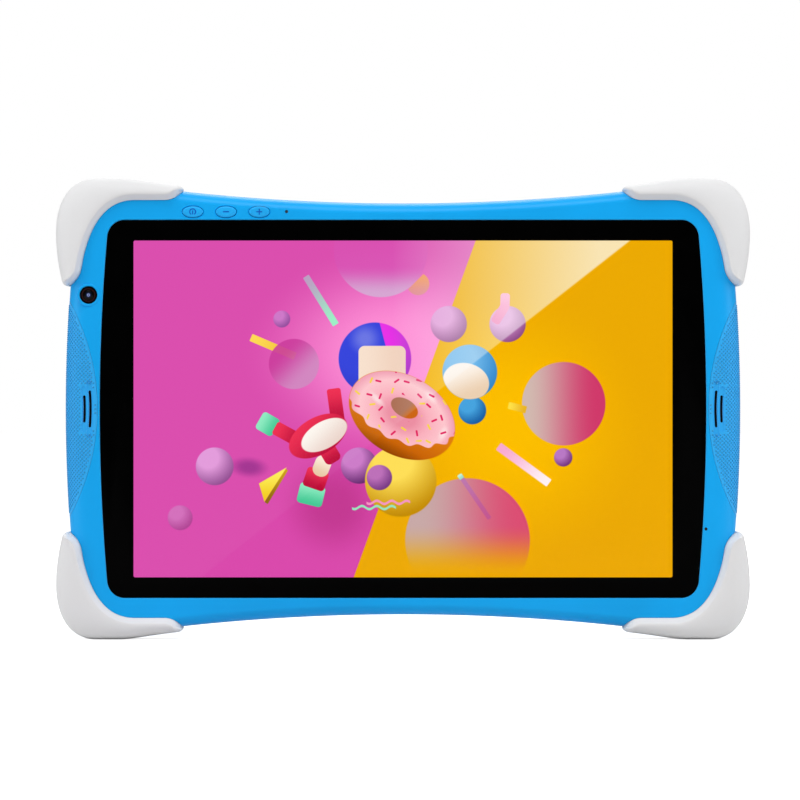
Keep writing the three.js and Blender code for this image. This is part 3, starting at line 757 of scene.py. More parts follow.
class Picture(Finish):
    """Plain shapes painted over each other in light, placed in millimetres from the display's middle."""

    def __init__(self, name, **sockets):
        super().__init__(name, **sockets)
        place = self.place()
        self.x = self.part(place, 0) / MM
        self.y = self.part(place, 2) / MM - MIDDLE / MM
        self.at = self.node("ShaderNodeCombineXYZ", {}, {"X": self.x, "Y": self.y})
        self.colour = None

    def vector(self, operation, *values, output=0):
        return self.node("ShaderNodeVectorMath", {"operation": operation}, dict(enumerate(values)), output)

    def local(self, x, y, turn=0.0, half_width=1.0, half_height=1.0):
        """The place as seen from a shape's own middle, turned by degrees and scaled to its half sizes."""
        values = {
            "Vector": self.at,
            "Location": (x, y, 0),
            "Rotation": (0, 0, math.radians(turn)),
            "Scale": (half_width, half_height, 1),
        }
        return self.node("ShaderNodeMapping", {"vector_type": "TEXTURE"}, values)

    def distance(self, x, y):
        return self.vector("DISTANCE", self.at, (x, y, 0), output=1)

    def oval(self, *shape):
        """How far out a place is in an oval: 0 at its middle and 1 on its edge. shape is as for local."""
        return self.vector("LENGTH", self.local(*shape), output=1)

    def outside(self, local, half_width, half_height):
        """How far a place is from a rectangle."""
        past = self.vector("SUBTRACT", self.vector("ABSOLUTE", local), (half_width, half_height, 0))
        return self.vector("LENGTH", self.vector("MAXIMUM", past, (0, 0, 0)), output=1)

    def paint(self, cover, colour):
        """Lays a colour over the picture where cover is 1."""
        self.colour = colour if self.colour is None else self.mix(cover, self.colour, colour)

    def fade(self, value, low, high, first, last):
        """A smooth change of colour as a value goes from low to high."""
        return self.mix(value.eased(low, high), first, last)

    def disc(self, x, y, radius, cover=1.0, soft=0.25):
        """1 inside a circle and 0 outside, times cover."""
        edge = self.distance(x, y).eased(radius + soft, radius - soft)
        return edge * cover if cover != 1.0 else edge

    def ball(self, x, y, radius, light, dark, cover=1.0, lamp=(-0.35, 0.45)):
        """A shaded ball, lit from the upper left."""
        from_lamp = self.distance(x + lamp[0] * radius, y + lamp[1] * radius)
        shade = self.ramp(from_lamp / (1.55 * radius), [(0.0, light), (0.35, light), (1.0, dark)])
        self.paint(self.disc(x, y, radius, cover), shade)

    def egg(self, x, y, turn, half_width, half_height, light, dark, cover=1.0):
        """A shaded oval, lit from the upper left."""
        soft = 0.2 / half_height
        inside = self.oval(x, y, turn, half_width, half_height).eased(1 + soft, 1 - soft)
        down = (self.x - self.y) - (x - y)
        self.paint(inside * cover, self.fade(down, -half_width, half_width, light, dark))

    def bar(self, start, end, width, first, last, cover=1.0, corner=0.3):
        """A square-ended rod that changes colour along its length."""
        (x0, y0), (x1, y1) = start, end
        half = math.hypot(x1 - x0, y1 - y0) / 2
        turn = math.degrees(math.atan2(y1 - y0, x1 - x0))
        local = self.local((x0 + x1) / 2, (y0 + y1) / 2, turn)
        gap = self.outside(local, half - corner, width / 2 - corner)
        inside = gap.eased(corner + 0.15, corner - 0.15)
        self.paint(inside * cover, self.fade(self.part(local, 0), -half, half, first, last))

    def wave(self, left, right, level, colour, width=1.0, swing=0.63, length=6.0):
        """A wavy line."""
        height = (self.x * (2 * math.pi / length)).maths("SINE") * swing + level
        line = abs(self.y - height).eased(width / 2 + 0.15, width / 2 - 0.15)
        middle, half = (left + right) / 2, (right - left) / 2
        self.paint(line * abs(self.x - middle).eased(half + 0.2, half - 0.2), colour)


def paint_ground(art, look):
    """Pink on the left and yellow on the right, each with a soft glow."""
    halves = look.left_colour, look.right_colour
    pink, yellow = ((*(c ** (1 / DISPLAY_GAMMA) for c in half), 1.0) for half in halves)
    glow = art.oval(0, 22, 0, 60, 42).eased(1.1, 0.2)
    shade = art.distance(-28, -39).eased(24, 4)
    left = art.mix(shade * 0.55, art.mix(glow, pink, ink("ff8ad4")), ink("b0307c"))
    right = art.mix(art.distance(44, -7).eased(58, 6), yellow, ink("ffbd00"))
    side = (art.x - art.y * 0.3623).eased(4.45, 4.95)
    art.paint(None, art.mix(side, left, right))
    art.paint(art.oval(-62, -23.5, -5, 9.5, 5).eased(1.0, 0.2) * 0.65, ink("82287f"))


def paint_far_discs(art):
    """Big see-through discs."""
    rim = art.fade(art.y, 46, 58, ink("d2a8d2"), ink("d650b2"))
    art.paint(art.disc(-8.9, 63.9, 18.9) * (0.9 - art.y.eased(50, 72) * 0.5), rim)
    half = art.disc(6.1, 50.3, 4.5) * (art.x - art.y + 46.1).eased(-0.25, 0.25)
    art.paint(half * 0.85, art.fade(art.y, 46, 54, ink("dc8c84"), ink("f2a04c")))
    art.paint(art.disc(64.7, 2.1, 16.8, 0.92), art.fade(art.x, 49, 79, ink("cdb8be"), ink("cc3273")))
    half = art.disc(26.0, -53.0, 25.1) * art.y.eased(-68, -46)
    art.paint(half * 0.92, art.fade(art.x, 6, 48, ink("c4a8b4"), ink("d8467c")))


def paint_sticks(art):
    """Rods that lie in the air between the balls."""
    art.bar((-39.1, 53.4), (-27.0, 33.9), 2.7, ink("b99cc0"), ink("98f0c4"))
    art.bar((-61.2, 28.8), (-43.4, 21.2), 3.1, ink("ffd850"), ink("f0bc34"))
    art.bar((42.4, 1.5), (49.6, -0.4), 2.9, ink("ffe04a"), ink("e9b22a"))
    art.bar((38.4, -15.0), (58.8, -29.9), 3.5, ink("f8a8d0"), ink("fff0f2"))
    art.bar((23.0, -26.8), (34.9, -44.2), 1.8, ink("bd78ae"), ink("c25890"))
    art.bar((22.6, -26.4), (23.8, -28.1), 2.0, ink("c4f4e0"), ink("9cd8c4"))


def paint_balls(art):
    """Shaded balls, a bent pink rod among them, and two wavy lines."""
    across = art.x - art.y
    art.paint(art.disc(-43.9, 18.1, 10.1, 0.9), art.fade(across, -72, -52, ink("c83a98"), ink("ce86be")))
    art.ball(-48.8, 36.2, 3.4, ink("cc74c6"), ink("8c4896"))
    art.ball(18.4, 34.2, 7.3, ink("e09cd8"), ink("8c4c86"))
    art.ball(42.1, 34.2, 7.3, ink("e09cd8"), ink("8c4c86"))
    art.bar((41.2, 46.6), (41.0, 40.2), 3.8, ink("ffa6ce"), ink("fb92c2"), corner=1.2)
    art.bar((41.5, 42.0), (36.8, 34.6), 3.8, ink("fb92c2"), ink("f27cb4"), corner=1.2)
    art.ball(-75.8, -23.1, 7.6, ink("e298da"), ink("8c4a8c"))
    art.ball(-89.7, -43.8, 5.0, ink("cf78be"), ink("9c3c84"), 0.75)
    art.ball(64.5, -19.5, 3.7, ink("b878c4"), ink("6f3478"))
    art.ball(-17.7, -22.8, 7.3, ink("cc7cc8"), ink("602c6a"))
    art.ball(-0.9, -29.0, 14.4, ink("ffde58"), ink("c48c10"), lamp=(-0.2, 0.6))
    art.ball(-9.5, -27.6, 5.1, ink("bc70b8"), ink("743a80"))
    art.wave(-14.7, 2.9, -37.6, ink("f596c3"))
    art.wave(-20.5, -2.8, -39.7, ink("96e6be"))


def paint_ring(art, x, y, turn):
    """A glazed ring: icing with a wavy edge over its upper right, sprinkles on it, and dough below."""
    radius = art.oval(x, y, turn, 22.9, 16.0)
    hole = art.oval(x + 1.0, y + 3.0, turn, 5.9, 3.6)
    solid = radius.eased(1.012, 0.988)
    down = (art.x * -0.5 - art.y - (x * -0.5 - y)) / 18
    art.paint(solid, art.ramp(down, [(0.1, ink("e07c16")), (0.7, ink("c86410")), (1.0, ink("8e4406"))]))
    iced = art.local(x + 0.4, y + 6.7, turn, 25.8, 16.3)
    angle = art.part(iced, 1).maths("ARCTAN2", art.part(iced, 0))
    edge = art.vector("LENGTH", iced, output=1) + (angle * 18.0).maths("SINE") * 0.035
    icing = edge.eased(1.012, 0.988) * radius.eased(1.005, 0.985)
    stops = [(0.25, ink("ec8ea2")), (0.5, ink("fbb0bd")), (0.8, ink("ffc6cd")), (1.0, ink("f09cb0"))]
    art.paint(icing, art.ramp(radius, stops))
    for gloss in ((-10.5, 4.0, -45, 5.5, 1.9), (11.3, 4.7, -50, 4.2, 2.0), (16.2, -9.8, 60, 4.0, 2.2)):
        art.paint(art.oval(*gloss).eased(1.0, 0.1) * icing * 0.6, ink("fff4f0"))
    bare = hole.eased(1.25, 1.35) * edge.eased(0.96, 0.93)
    paint_sprinkles(art, icing * bare)
    art.paint(hole.eased(1.04, 0.96), art.fade(art.x - art.y, x + 1, x + 6, ink("a86c52"), ink("cc661c")))


def paint_sprinkles(art, cover):
    """Short rods, one in each cell of a jittered grid, turned and coloured by the cell's own numbers."""
    cells, values = {"voronoi_dimensions": "2D"}, {"Vector": art.at, "Scale": 1 / 5.0, "Randomness": 0.55}
    kind, spot = (art.node("ShaderNodeTexVoronoi", cells, values, output) for output in (1, 2))
    turn, pick = (art.node("ShaderNodeSeparateColor", {}, {0: kind}, output) for output in (0, 1))
    values = {"Vector": art.vector("SUBTRACT", art.at, spot), "Angle": turn * 2 * math.pi}
    turned = art.node("ShaderNodeVectorRotate", {"rotation_type": "Z_AXIS"}, values)
    rod = art.outside(turned, 0.9, 0.05).eased(0.46, 0.22)
    art.paint(rod * cover, art.mix(pick.eased(0.55, 0.56), ink("e22a62"), ink("fad24e")))


def paint_two_tone_ball(art, x, y, radius):
    """A ball that is blue on the left and magenta on the right, with a cream panel low on it."""
    cover = art.disc(x, y, radius)
    split = art.x + art.y * 0.26 - (x + y * 0.26)
    art.paint(cover, art.fade(split, 5.4, 5.9, ink("3442da"), ink("e830e6")))
    art.paint(cover * art.distance(x - 5, y + 6).eased(10, 28) * 0.5, ink("24207c"))
    art.paint(cover * art.distance(x - 4, y + 8).eased(8, 1) * 0.25, ink("ffffff"))
    art.bar((x - 6.6, y - 5), (x + 12.4, y - 5), 20.4, ink("f8e0cc"), ink("f0cfba"), cover, corner=2.5)


def paint_front_shapes(art):
    """What stands in front: plain balls, eggs and rods in the fair's colours."""
    paint_two_tone_ball(art, -11.3, 20.2, 14.6)
    art.ball(27.9, -0.6, 5.6, ink("48a2de"), ink("1c5a9c"))
    art.ball(26.9, 14.9, 11.0, ink("70b8ec"), ink("3684c6"))
    cream = art.oval(25.4, 11.0, -15, 9.4, 7.4).eased(1.03, 0.97) * art.disc(26.9, 14.9, 11.0)
    art.paint(cream, art.fade(art.y - art.x * 0.4, -6, 8, ink("eccfb0"), ink("fff6ec")))
    paint_ring(art, -0.4, -2.6, -30)
    red, wine, mint, sea = ink("ee2f50"), ink("b81238"), ink("8cecc0"), ink("48c894")
    art.bar((-57.8, -4.2), (-51.2, -8.0), 7.8, mint, sea, corner=1.4)
    art.bar((-51.6, -7.4), (-41.0, -13.2), 5.6, red, wine, corner=1.0)
    art.bar((-28.0, 8.2), (-26.2, -5.0), 5.6, red, wine, corner=1.0)
    art.bar((-36.0, -30.4), (-38.0, -38.6), 10.4, mint, sea, corner=1.6)
    art.bar((-33.8, -24.4), (-36.4, -32.0), 9.0, red, wine, corner=1.4)
    art.bar((-31.0, -19.0), (-34.2, -27.0), 6.6, ink("fff0dc"), ink("e8c6a4"), corner=3.0)
    art.bar((-31.8, -14.0), (-27.4, -21.4), 6.8, red, wine, corner=2.0)
    art.egg(-34.2, -10.9, 30, 12.8, 7.4, red, wine)
    art.egg(-31.7, -10.5, 30, 10.2, 5.4, ink("fffaf2"), ink("ead2c8"))
    paint_wedge(art, [(-58.0, -30.0), (-46.8, -23.5), (-55.8, -37.4)])


def paint_wedge(art, corners):
    """A yellow triangle, its corners clockwise, with a darker side that shows along its right."""
    art.bar((-46.9, -24.3), (-55.1, -37.9), 1.5, ink("c89a1c"), ink("8c6410"))
    inside = None
    for (x0, y0), (x1, y1) in zip(corners, corners[1:] + corners[:1]):
        run, rise = x1 - x0, y1 - y0
        depth = (art.x * rise - art.y * run) + (y0 * run - x0 * rise)
        edge = (depth / math.hypot(run, rise)).eased(-0.2, 0.2)
        inside = edge if inside is None else inside * edge
    art.paint(inside, art.fade(art.y, -38, -24, ink("f2c81c"), ink("fff05a")))


def paint_glare(art, look):
    """A painted reflection: soft daylight glare over the upper left of the picture."""
    wedge = (art.y - art.x * 0.784 + 3.9).eased(-0.6, 0.6)
    strength = ((art.x + 4) / 83).clamped().maths("POWER", 0.85) * 0.66 + 0.03
    art.paint(wedge * strength * look.glare, ink("ffffff"))


def picture_size(look):
    """Width and height of what is lit, in millimetres."""
    return 2 * (node_box("display_cell")[1][0] - look.margin / MM), look.picture_height / MM


def lit_picture():
    """The display's own light, with a dark edge round the picture."""
    look = bpy.context.scene.tablet_display
    art = Picture("lit_picture", Base_Color=(0, 0, 0, 1), Specular_IOR_Level=0.0,
                  Emission_Strength=look.brightness)
    paint_ground(art, look)
    paint_far_discs(art)
    paint_sticks(art)
    paint_balls(art)
    paint_front_shapes(art)
    paint_glare(art, look)
    wide, high = (size / 2 for size in picture_size(look))
    framed = abs(art.x).eased(wide + 0.1, wide - 0.1) * abs(art.y).eased(high + 0.1, high - 0.1)
    shown = art.mix(framed, (0, 0, 0, 1), art.colour)
    lit = art.node("ShaderNodeGamma", {}, {"Color": shown, "Gamma": DISPLAY_GAMMA})
    return art.wear(Emission_Color=lit, Roughness=art.noise(2, 1) * 0.1 + 0.4).material


# ---- Geometry node trees ---------------------------------------------------------------------------------


class Pattern:
    """A geometry node tree with named inputs, and the nodes in it."""

    def __init__(self, name, inputs):
        self.tree = bpy.data.node_groups.new(name, "GeometryNodeTree")
        face = self.tree.interface
        face.new_socket("Geometry", in_out="OUTPUT", socket_type="NodeSocketGeometry")
        face.new_socket("Places", in_out="INPUT", socket_type="NodeSocketGeometry")
        for title, kind in inputs:
            face.new_socket(title, in_out="INPUT", socket_type=kind)
        self.entry = self.tree.nodes.new("NodeGroupInput")
        self.exit = self.tree.nodes.new("NodeGroupOutput")

    def node(self, kind, settings=None, links=None):
        made = self.tree.nodes.new(kind)
        for name, value in (settings or {}).items():
            setattr(made, name, value)
        for key, value in (links or {}).items():
            socket = made.inputs[key]
            if isinstance(value, bpy.types.NodeSocket):
                self.tree.links.new(value, socket)
            else:
                socket.default_value = value
        return made

    def given(self, title):
        """What the group gets at an input."""
        return self.entry.outputs[title]

    def copies(self, model, scale):
        """A model on each place, with its z axis along the way out."""
        named = {"data_type": "FLOAT_VECTOR"}
        out = self.node("GeometryNodeInputNamedAttribute", named, {"Name": "outwards"})
        to_way = {"Vector": out.outputs["Attribute"]}
        turn = self.node("FunctionNodeAlignRotationToVector", {"axis": "Z"}, to_way)
        links = {"Points": self.given("Places"), "Instance": model, "Rotation": turn.outputs["Rotation"],
                 "Scale": scale}
        return self.node("GeometryNodeInstanceOnPoints", {}, links).outputs["Instances"]

    def end(self, geometry):
        """Makes the copies one mesh with the material that was asked for, and ends the tree."""
        whole = self.node("GeometryNodeRealizeInstances", {}, {"Geometry": geometry})
        dressed = self.node(
            "GeometryNodeSetMaterial", {},
            {"Geometry": whole.outputs["Geometry"], "Material": self.given("Material")},
        )
        self.tree.links.new(dressed.outputs["Geometry"], self.exit.inputs["Geometry"])
        return self.tree


def grown(name, places, outwards, tree, values):
    """Runs a tree on loose points that know which way is out, and keeps the mesh it makes."""
    mesh = bpy.data.meshes.new(name)
    mesh.from_pydata(places.tolist(), [], [])
    way = mesh.attributes.new("outwards", "FLOAT_VECTOR", "POINT")
    way.data.foreach_set("vector", np.asarray(outwards, np.float32).ravel())
    piece = mesh_piece(name, mesh)
    change = piece.modifiers.new("Pattern", "NODES")
    change.node_group = tree
    given = (item for item in tree.interface.items_tree if item.in_out == "INPUT")
    sockets = {item.name: item.identifier for item in given}
    for title, value in values.items():
        change[sockets[title]] = value
    return settle(piece)


def directions(vectors):
    """Directions in the tablet's plane, as directions in the frame."""
    x, y, z = np.asarray(vectors, float).reshape(-1, 3).T
    return np.stack([x, -z, y], axis=1)


def dot_tree():
    """A low, round dot on each place, flattened along the way out."""
    inputs = [
        ("Dot Width", "NodeSocketFloat"),
        ("Dot Height", "NodeSocketFloat"),
        ("Material", "NodeSocketMaterial"),
    ]
    tree = Pattern("grip_dots", inputs)
    dot = tree.node("GeometryNodeMeshUVSphere", {}, {"Segments": 8, "Rings": 4, "Radius": 0.5})
    soft = tree.node("GeometryNodeSetShadeSmooth", {}, {"Geometry": dot.outputs["Mesh"]})
    tall = tree.node("ShaderNodeMath", {"operation": "MULTIPLY"}, {0: tree.given("Dot Height"), 1: 2.0})
    wide = tree.given("Dot Width")
    size = tree.node("ShaderNodeCombineXYZ", {}, {"X": wide, "Y": wide, "Z": tall.outputs[0]})
    return tree.end(tree.copies(soft.outputs["Geometry"], size.outputs["Vector"]))


def placing_tree(name):
    """A copy of one model on each place, with its z axis along the way out."""
    inputs = [
        ("Model", "NodeSocketObject"),
        ("Size", "NodeSocketFloat"),
        ("Material", "NodeSocketMaterial"),
    ]
    tree = Pattern(name, inputs)
    model = tree.node("GeometryNodeObjectInfo", {}, {"Object": tree.given("Model")})
    return tree.end(tree.copies(model.outputs["Geometry"], tree.given("Size")))


# ---- Settings --------------------------------------------------------------------------------------------


def share_setting(name, description, default):
    return FloatProperty(name=name, description=description, default=default, min=0, max=1, subtype="FACTOR")


def power_setting(name, description, default):
    return FloatProperty(name=name, description=description, default=default, min=0, unit="POWER")


def plain_setting(name, description, default):
    return FloatProperty(name=name, description=description, default=default, min=0)


def colour_setting(name, description, code):
    return FloatVectorProperty(name=name, description=description, default=tint(code)[:3],
                               subtype="COLOR", size=3, min=0, max=1)


def length_setting(name, description, default):
    return FloatProperty(name=name, description=description, default=default * MM, min=0,
                         unit="LENGTH", precision=5)


class TabletShellSettings(bpy.types.PropertyGroup):
    colour: colour_setting("Colour", "The moulded shell's colour", "00aaf6")
    roughness: share_setting("Roughness", "The shell's satin finish", 0.38)
    shine: share_setting("Shine", "How strongly the shell reflects", 0.22)
    sheen: share_setting("Sheen", "Pale light that the rounded edges catch", 0.15)
    lip: length_setting("Lip", "Slope round the glass and the key holes", 0.25)
    fit: length_setting("Fit", "Gap between the shell and what sits in it", 0.12)


class TabletBumperSettings(bpy.types.PropertyGroup):
    colour: colour_setting("Colour", "The silicone's colour", "e5e5e6")
    bevel: length_setting("Slope", "Width of the slope along the inner edge", 2.3)
    side: length_setting("Side", "Half height of the flat part of the outer side", 4.0)


class TabletGripSettings(bpy.types.PropertyGroup):
    colour: colour_setting("Colour", "The side grips' colour", "28b0f8")
    sheen: share_setting("Sheen", "Pale light that the rounded side catches", 0.4)
    # How much darker the dots are than the skin: painted shade for the shadow between them.
    dot_painted_shade: share_setting("Dot Shade", "The dots' brightness beside the skin", 0.7)
    pitch: length_setting("Pitch", "Distance between rows of dots", 1.6)
    dot_width: length_setting("Dot Width", "Across one dot", 0.85)
    dot_height: length_setting("Dot Height", "How far a dot stands out", 0.25)


class TabletDisplaySettings(bpy.types.PropertyGroup):
    left_colour: colour_setting("Left", "The left half of the picture", "da49ac")
    right_colour: colour_setting("Right", "The right half of the picture", "eeaa02")
    brightness: plain_setting("Brightness", "How bright the display is", 1.0)
    # The glare is a painted reflection over the picture.
    glare: share_setting("Glare", "Strength of the light over the picture", 1.0)
    margin: length_setting("Margin", "Dark edge at each end of the panel", 5.82)
    picture_height: length_setting("Height", "Height of the picture", 135.6)


class TabletKeySettings(bpy.types.PropertyGroup):
    colour: colour_setting("Colour", "The keys' colour", "18aef8")
    engraving: length_setting("Engraving", "Depth of the symbols", 0.3)
    clearance: length_setting("Clearance", "Gap round each key", 0.15)


class TabletStageSettings(bpy.types.PropertyGroup):
    distance: FloatProperty(name="Distance", description="From the camera to the tablet", default=2.0,
                            min=0.5, unit="LENGTH")
    key_light: power_setting("Key Light", "Power of the light above", 15.0)
    fill_light: power_setting("Fill Light", "Power of the lights at the sides", 7.0)
    back_light: power_setting("Back Light", "Power of the light behind", 12.0)
    surround: plain_setting("Surround", "Light from all round", 0.4)
    mirrored: plain_setting("Mirrored", "How bright the surround is in reflections", 0.2)
    floor_glow: plain_setting("Floor Glow", "Lifts the floor to white", 0.75)


# ---- Shell halves ----------------------------------------------------------------------------------------


def grip_recess(fit):
    """Tools for the hollows that the grips sit in."""
    recess = cut(grip_region("grip_recess", fit), shell_slab("under_grip", GRIP_THICK + fit))
    return both_sides(recess)


def bumper_seats(fit):
    """Tools for the hollows that the bumpers sit in."""
    seat = cut(bumper_region("bumper_seat", fit), shell_slab("under_bumper", SEAT))
    return every_corner(seat)


def slot_tool(x, half_length):
    """Cuts one speaker slot, out from the speaker's face."""
    return arc_strip("slot", x, half_length, SLOT_WIDTH, SLOT_FLOOR, FAR)


def flared_hole(outline, grown_by, bottom, surface, lip):
    """A tool whose mouth opens out by a lip at the surface."""
    mouth = grown_by + lip
    levels = [(grown_by, bottom), (grown_by, surface - lip), (mouth, surface), (mouth, FAR)]
    return stack("hole", outline, levels)


def hollow_half(name, front):
    """The front or back half of the shell, split at a fine groove, with its inside taken out."""
    groove = SHELL["parting_groove"] / 2
    low, high = (SHELL["parting"] + groove, FAR) if front else (-FAR, SHELL["parting"] - groove)
    half = common(shell_slab(name), slab_between("half", low, high))
    return cut(half, shell_slab("cavity", WALL, *FACE_WALLS))


GLASS_RIB = [(1.2, 5.6), (1.2, 6.7)]  # a rib behind the glass's edge: how far out, and its two heights
GLASS_LEDGE = 3.6  # how far the ledge reaches in under the glass
GLASS_SEAT = 6.8  # the ledge's height
CAMERA_RING = [(4.6, 6.0), (4.6, 8.45), (4.5, 8.62), (4.3, 8.7), (3.9, 8.7)]
CAMERA_BORE = [(3.6, 7.4), (3.6, 8.5), (3.85, 8.75), (3.85, FAR)]
CAMERA_PORT = 2.8
PINHOLE = 0.65
CAP_HALF_WIDTH = 4.15
KEY_LIP = 0.25


class TABLET_OT_front_frame(bpy.types.Operator):
    """Make the front frame, with its glass opening, key holes and camera ring"""

    bl_idname = "tablet.front_frame"
    bl_label = "Front Frame"

    def execute(self, context):
        look = context.scene.tablet_shell
        fit, lip = look.fit / MM, look.lip / MM
        shell = hollow_half("front_frame_shell", True)
        glass, camera, top = glass_outline(), FRONT_CAMERA[:2], SHELL["front"]
        merged(shell, stack("rib", glass, GLASS_RIB), revolve("ring", CAMERA_RING, *camera, 64))
        cut(
            shell,
            stack("opening", glass, [(-GLASS_LEDGE, 0), (-GLASS_LEDGE, FAR)]),
            flared_hole(glass, fit, GLASS_SEAT, top, lip),
            revolve("bore", CAMERA_BORE, *camera, 64),
            pipe(CAMERA_PORT, SLOT_FLOOR, FAR, *camera),
            pipe(PINHOLE, SLOT_FLOOR, FAR, *MICROPHONE[:2], 20),
            pipe(PINHOLE, SLOT_FLOOR, FAR, *INDICATOR[:2], 20),
        )
        gap = context.scene.tablet_keys.clearance / MM
        for name in KEYS.values():
            cut(shell, flared_hole(cap_outline(name), gap, SLOT_FLOOR, top, KEY_LIP))
        cut(shell, *grip_recess(fit))
        cut(shell, *bumper_seats(fit))
        cut(shell, *(tool for x, half, _ in SLOTS for tool in both_sides(slot_tool(x, half))))
        finish_piece(shell, blue_shell_plastic(), "blue_shell", "front_frame")
        return {"FINISHED"}


def cap_outline(name):
    """The oval of a key's face. The ears below reach past it on both sides, so its width isn't the node's."""
    low, high = node_box(f"{name}_button")
    return ellipse(CAP_HALF_WIDTH, (high[1] - low[1]) / 2) + node_middle(f"{name}_button")[:2]


BACK_CHAMFER = 0.3
CAMERA_BOSS = 6.0
REAR_RING, REAR_BORE, REAR_PORT = 4.75, 4.4, 3.4
FIELD_SIZE, FIELD_CORNER, FIELD_MIDDLE, FIELD_DEPTH = (96, 52), 6, (0, -30), 0.4


class TABLET_OT_rear_cover(bpy.types.Operator):
    """Make the rear cover, with its port holes, screw recesses and label field"""

    bl_idname = "tablet.rear_cover"
    bl_label = "Rear Cover"

    def execute(self, context):
        fit = context.scene.tablet_shell.fit / MM
        cover = hollow_half("rear_cover_shell", False)
        back, camera = SHELL["back"], REAR_CAMERA[:2]
        merged(cover, revolve("boss", [(CAMERA_BOSS, back + 0.1), (CAMERA_BOSS, back + 3.5)], *camera, 48))
        slope = back - EDGE, back + BACK_CHAMFER
        ring = [(REAR_RING, -FAR), (REAR_RING, slope[0]), (REAR_BORE, slope[1]), (REAR_BORE, back + 1.1)]
        field = rounded_rectangle(*FIELD_SIZE, FIELD_CORNER) + FIELD_MIDDLE
        levels = [(0.25, -FAR), (0.25, slope[0]), (0.0, slope[1]), (0.0, back + FIELD_DEPTH)]
        cut(
            cover,
            stack("field", field, levels),
            revolve("camera_hole", ring, *camera, 64),
            pipe(REAR_PORT, -FAR, 0, *camera),
        )
        cut(cover, *(screw_hole(*place) for place in screw_places()))
        cut(cover, *port_holes())
        cut(cover, *grip_recess(fit))
        cut(cover, *bumper_seats(fit))
        finish_piece(cover, blue_shell_plastic(), "blue_shell", "rear_cover")
        return {"FINISHED"}


def screw_places():
    """Where the case screws stand, across and up."""
    return [node_middle(node)[:2] for node in SCREWS]


def screw_hole(x, y):
    """A counterbore for the head with a chamfered mouth, and a clear hole for the shank."""
    back, mouth, bore, shank, floor = SHELL["back"], 2.8, 2.5, 1.35, -6.6
    chamfer = [(mouth, -FAR), (mouth, back - EDGE), (bore, back + 0.25)]
    step = [(bore, floor), (shank, floor), (shank, 0)]
    return revolve("screw_hole", chamfer + step, x, y, 32)


def port_holes():
    """Openings through the top wall, a little wider than the sockets behind them."""
    shapes = {
        "usb_c_socket": rounded_rectangle(9.6, 3.9, 1.8),
        "card_socket": rounded_rectangle(12.6, 2.3, 0.3),
        "headphone_socket": ellipse(2.85, 2.85, 40),
    }
    flare = [(0, -6), (0, -0.3), (0.3, 0.0), (0.3, 3)]  # how far out, and how far up from the mouth
    tools = []
    for node, outline in shapes.items():
        x, _, z = node_middle(node)
        mouth = node_box(node)[1][1] + 0.4
        rings = []
        for spread, rise in flare:
            across, deep = (outline + normals_of(outline) * spread).T
            rings.append(np.column_stack([across + x, np.full(len(across), mouth + rise), z - deep]))
        tools.append(loft("port_hole", rings))
    return tools


# ---- Bumpers ---------------------------------------------------------------------------------------------


def nearest(points, line):
    """Each point's distance to a line of points, and which of the line's stretches is nearest."""
    a, b = line[:-1], line[1:]
    run = b - a
    share = ((points[:, None] - a) * run).sum(-1) / (run * run).sum(-1)
    gap = np.linalg.norm(points[:, None] - (a + run * np.clip(share, 0, 1)[..., None]), axis=-1)
    index = gap.argmin(1)
    return gap[np.arange(len(points)), index], index


def surface_height(points, front=True):
    """How far the shell's front or back surface is from the parting plane's zero, at each point."""
    outline = shell_outline()
    closed = np.vstack([outline, outline[:1]])
    inwards, index = nearest(points, closed)
    sideways = normals_of(outline)[index % len(outline)][:, 0] ** 2
    roll = SHELL["front_roll"] if front else SHELL["back_roll"]
    face, belly = (SHELL["front"], SHELL["parting"]) if front else (-SHELL["back"], -SHELL["back_belly"])
    reach = roll[1] + (roll[0] - roll[1]) * np.minimum(1, sideways)
    angle = np.arccos(np.clip(1 - inwards / reach, 0, 1))
    return belly + (face - belly) * np.sin(angle)


def along(line, shares):
    """Points at shares of a line's length."""
    length = lengths_along(line)
    at = np.asarray(shares) * length[-1]
    return np.stack([np.interp(at, length, line[:, k]) for k in (0, 1)], axis=1)


BEVEL_STEPS = ((0.0, 0.0), (0.45, 0.0), (0.82, 0.02), (0.94, 0.07))  # share of the slope, and drop below it
RIDGE_DROP = 0.14  # softens the ridge at the slope's top
ROLL_STEPS = 17
SECTIONS = 180  # closer together towards the tips
TIP_START = 0.07


def bumper_half(starts, ends, ridge_points, front, look):
    """The bumper's front or back surface as columns of points, from its inner edge to its outer side."""
    width, side = look.bevel / MM, look.side / MM
    foot = surface_height(starts, front) + 0.02
    share = np.linalg.norm(ridge_points - starts, axis=1) / width
    ridge = foot + (BUMPER_FACE - foot) * np.minimum(1, share)
    flat = np.minimum(side, 0.55 * ridge)
    columns = []
    for part, drop in BEVEL_STEPS:
        place = starts + (ridge_points - starts) * part
        columns.append((place, foot + (ridge - foot) * part - drop * share))
    for angle in np.linspace(0.0, math.pi / 2, ROLL_STEPS):
        place = ridge_points + (ends - ridge_points) * math.sin(angle) ** 0.9
        round_off = math.cos(angle) ** 0.82
        drop = RIDGE_DROP * share * math.exp(-angle * 14)
        columns.append((place, flat + (ridge - flat) * round_off - drop))
    return columns


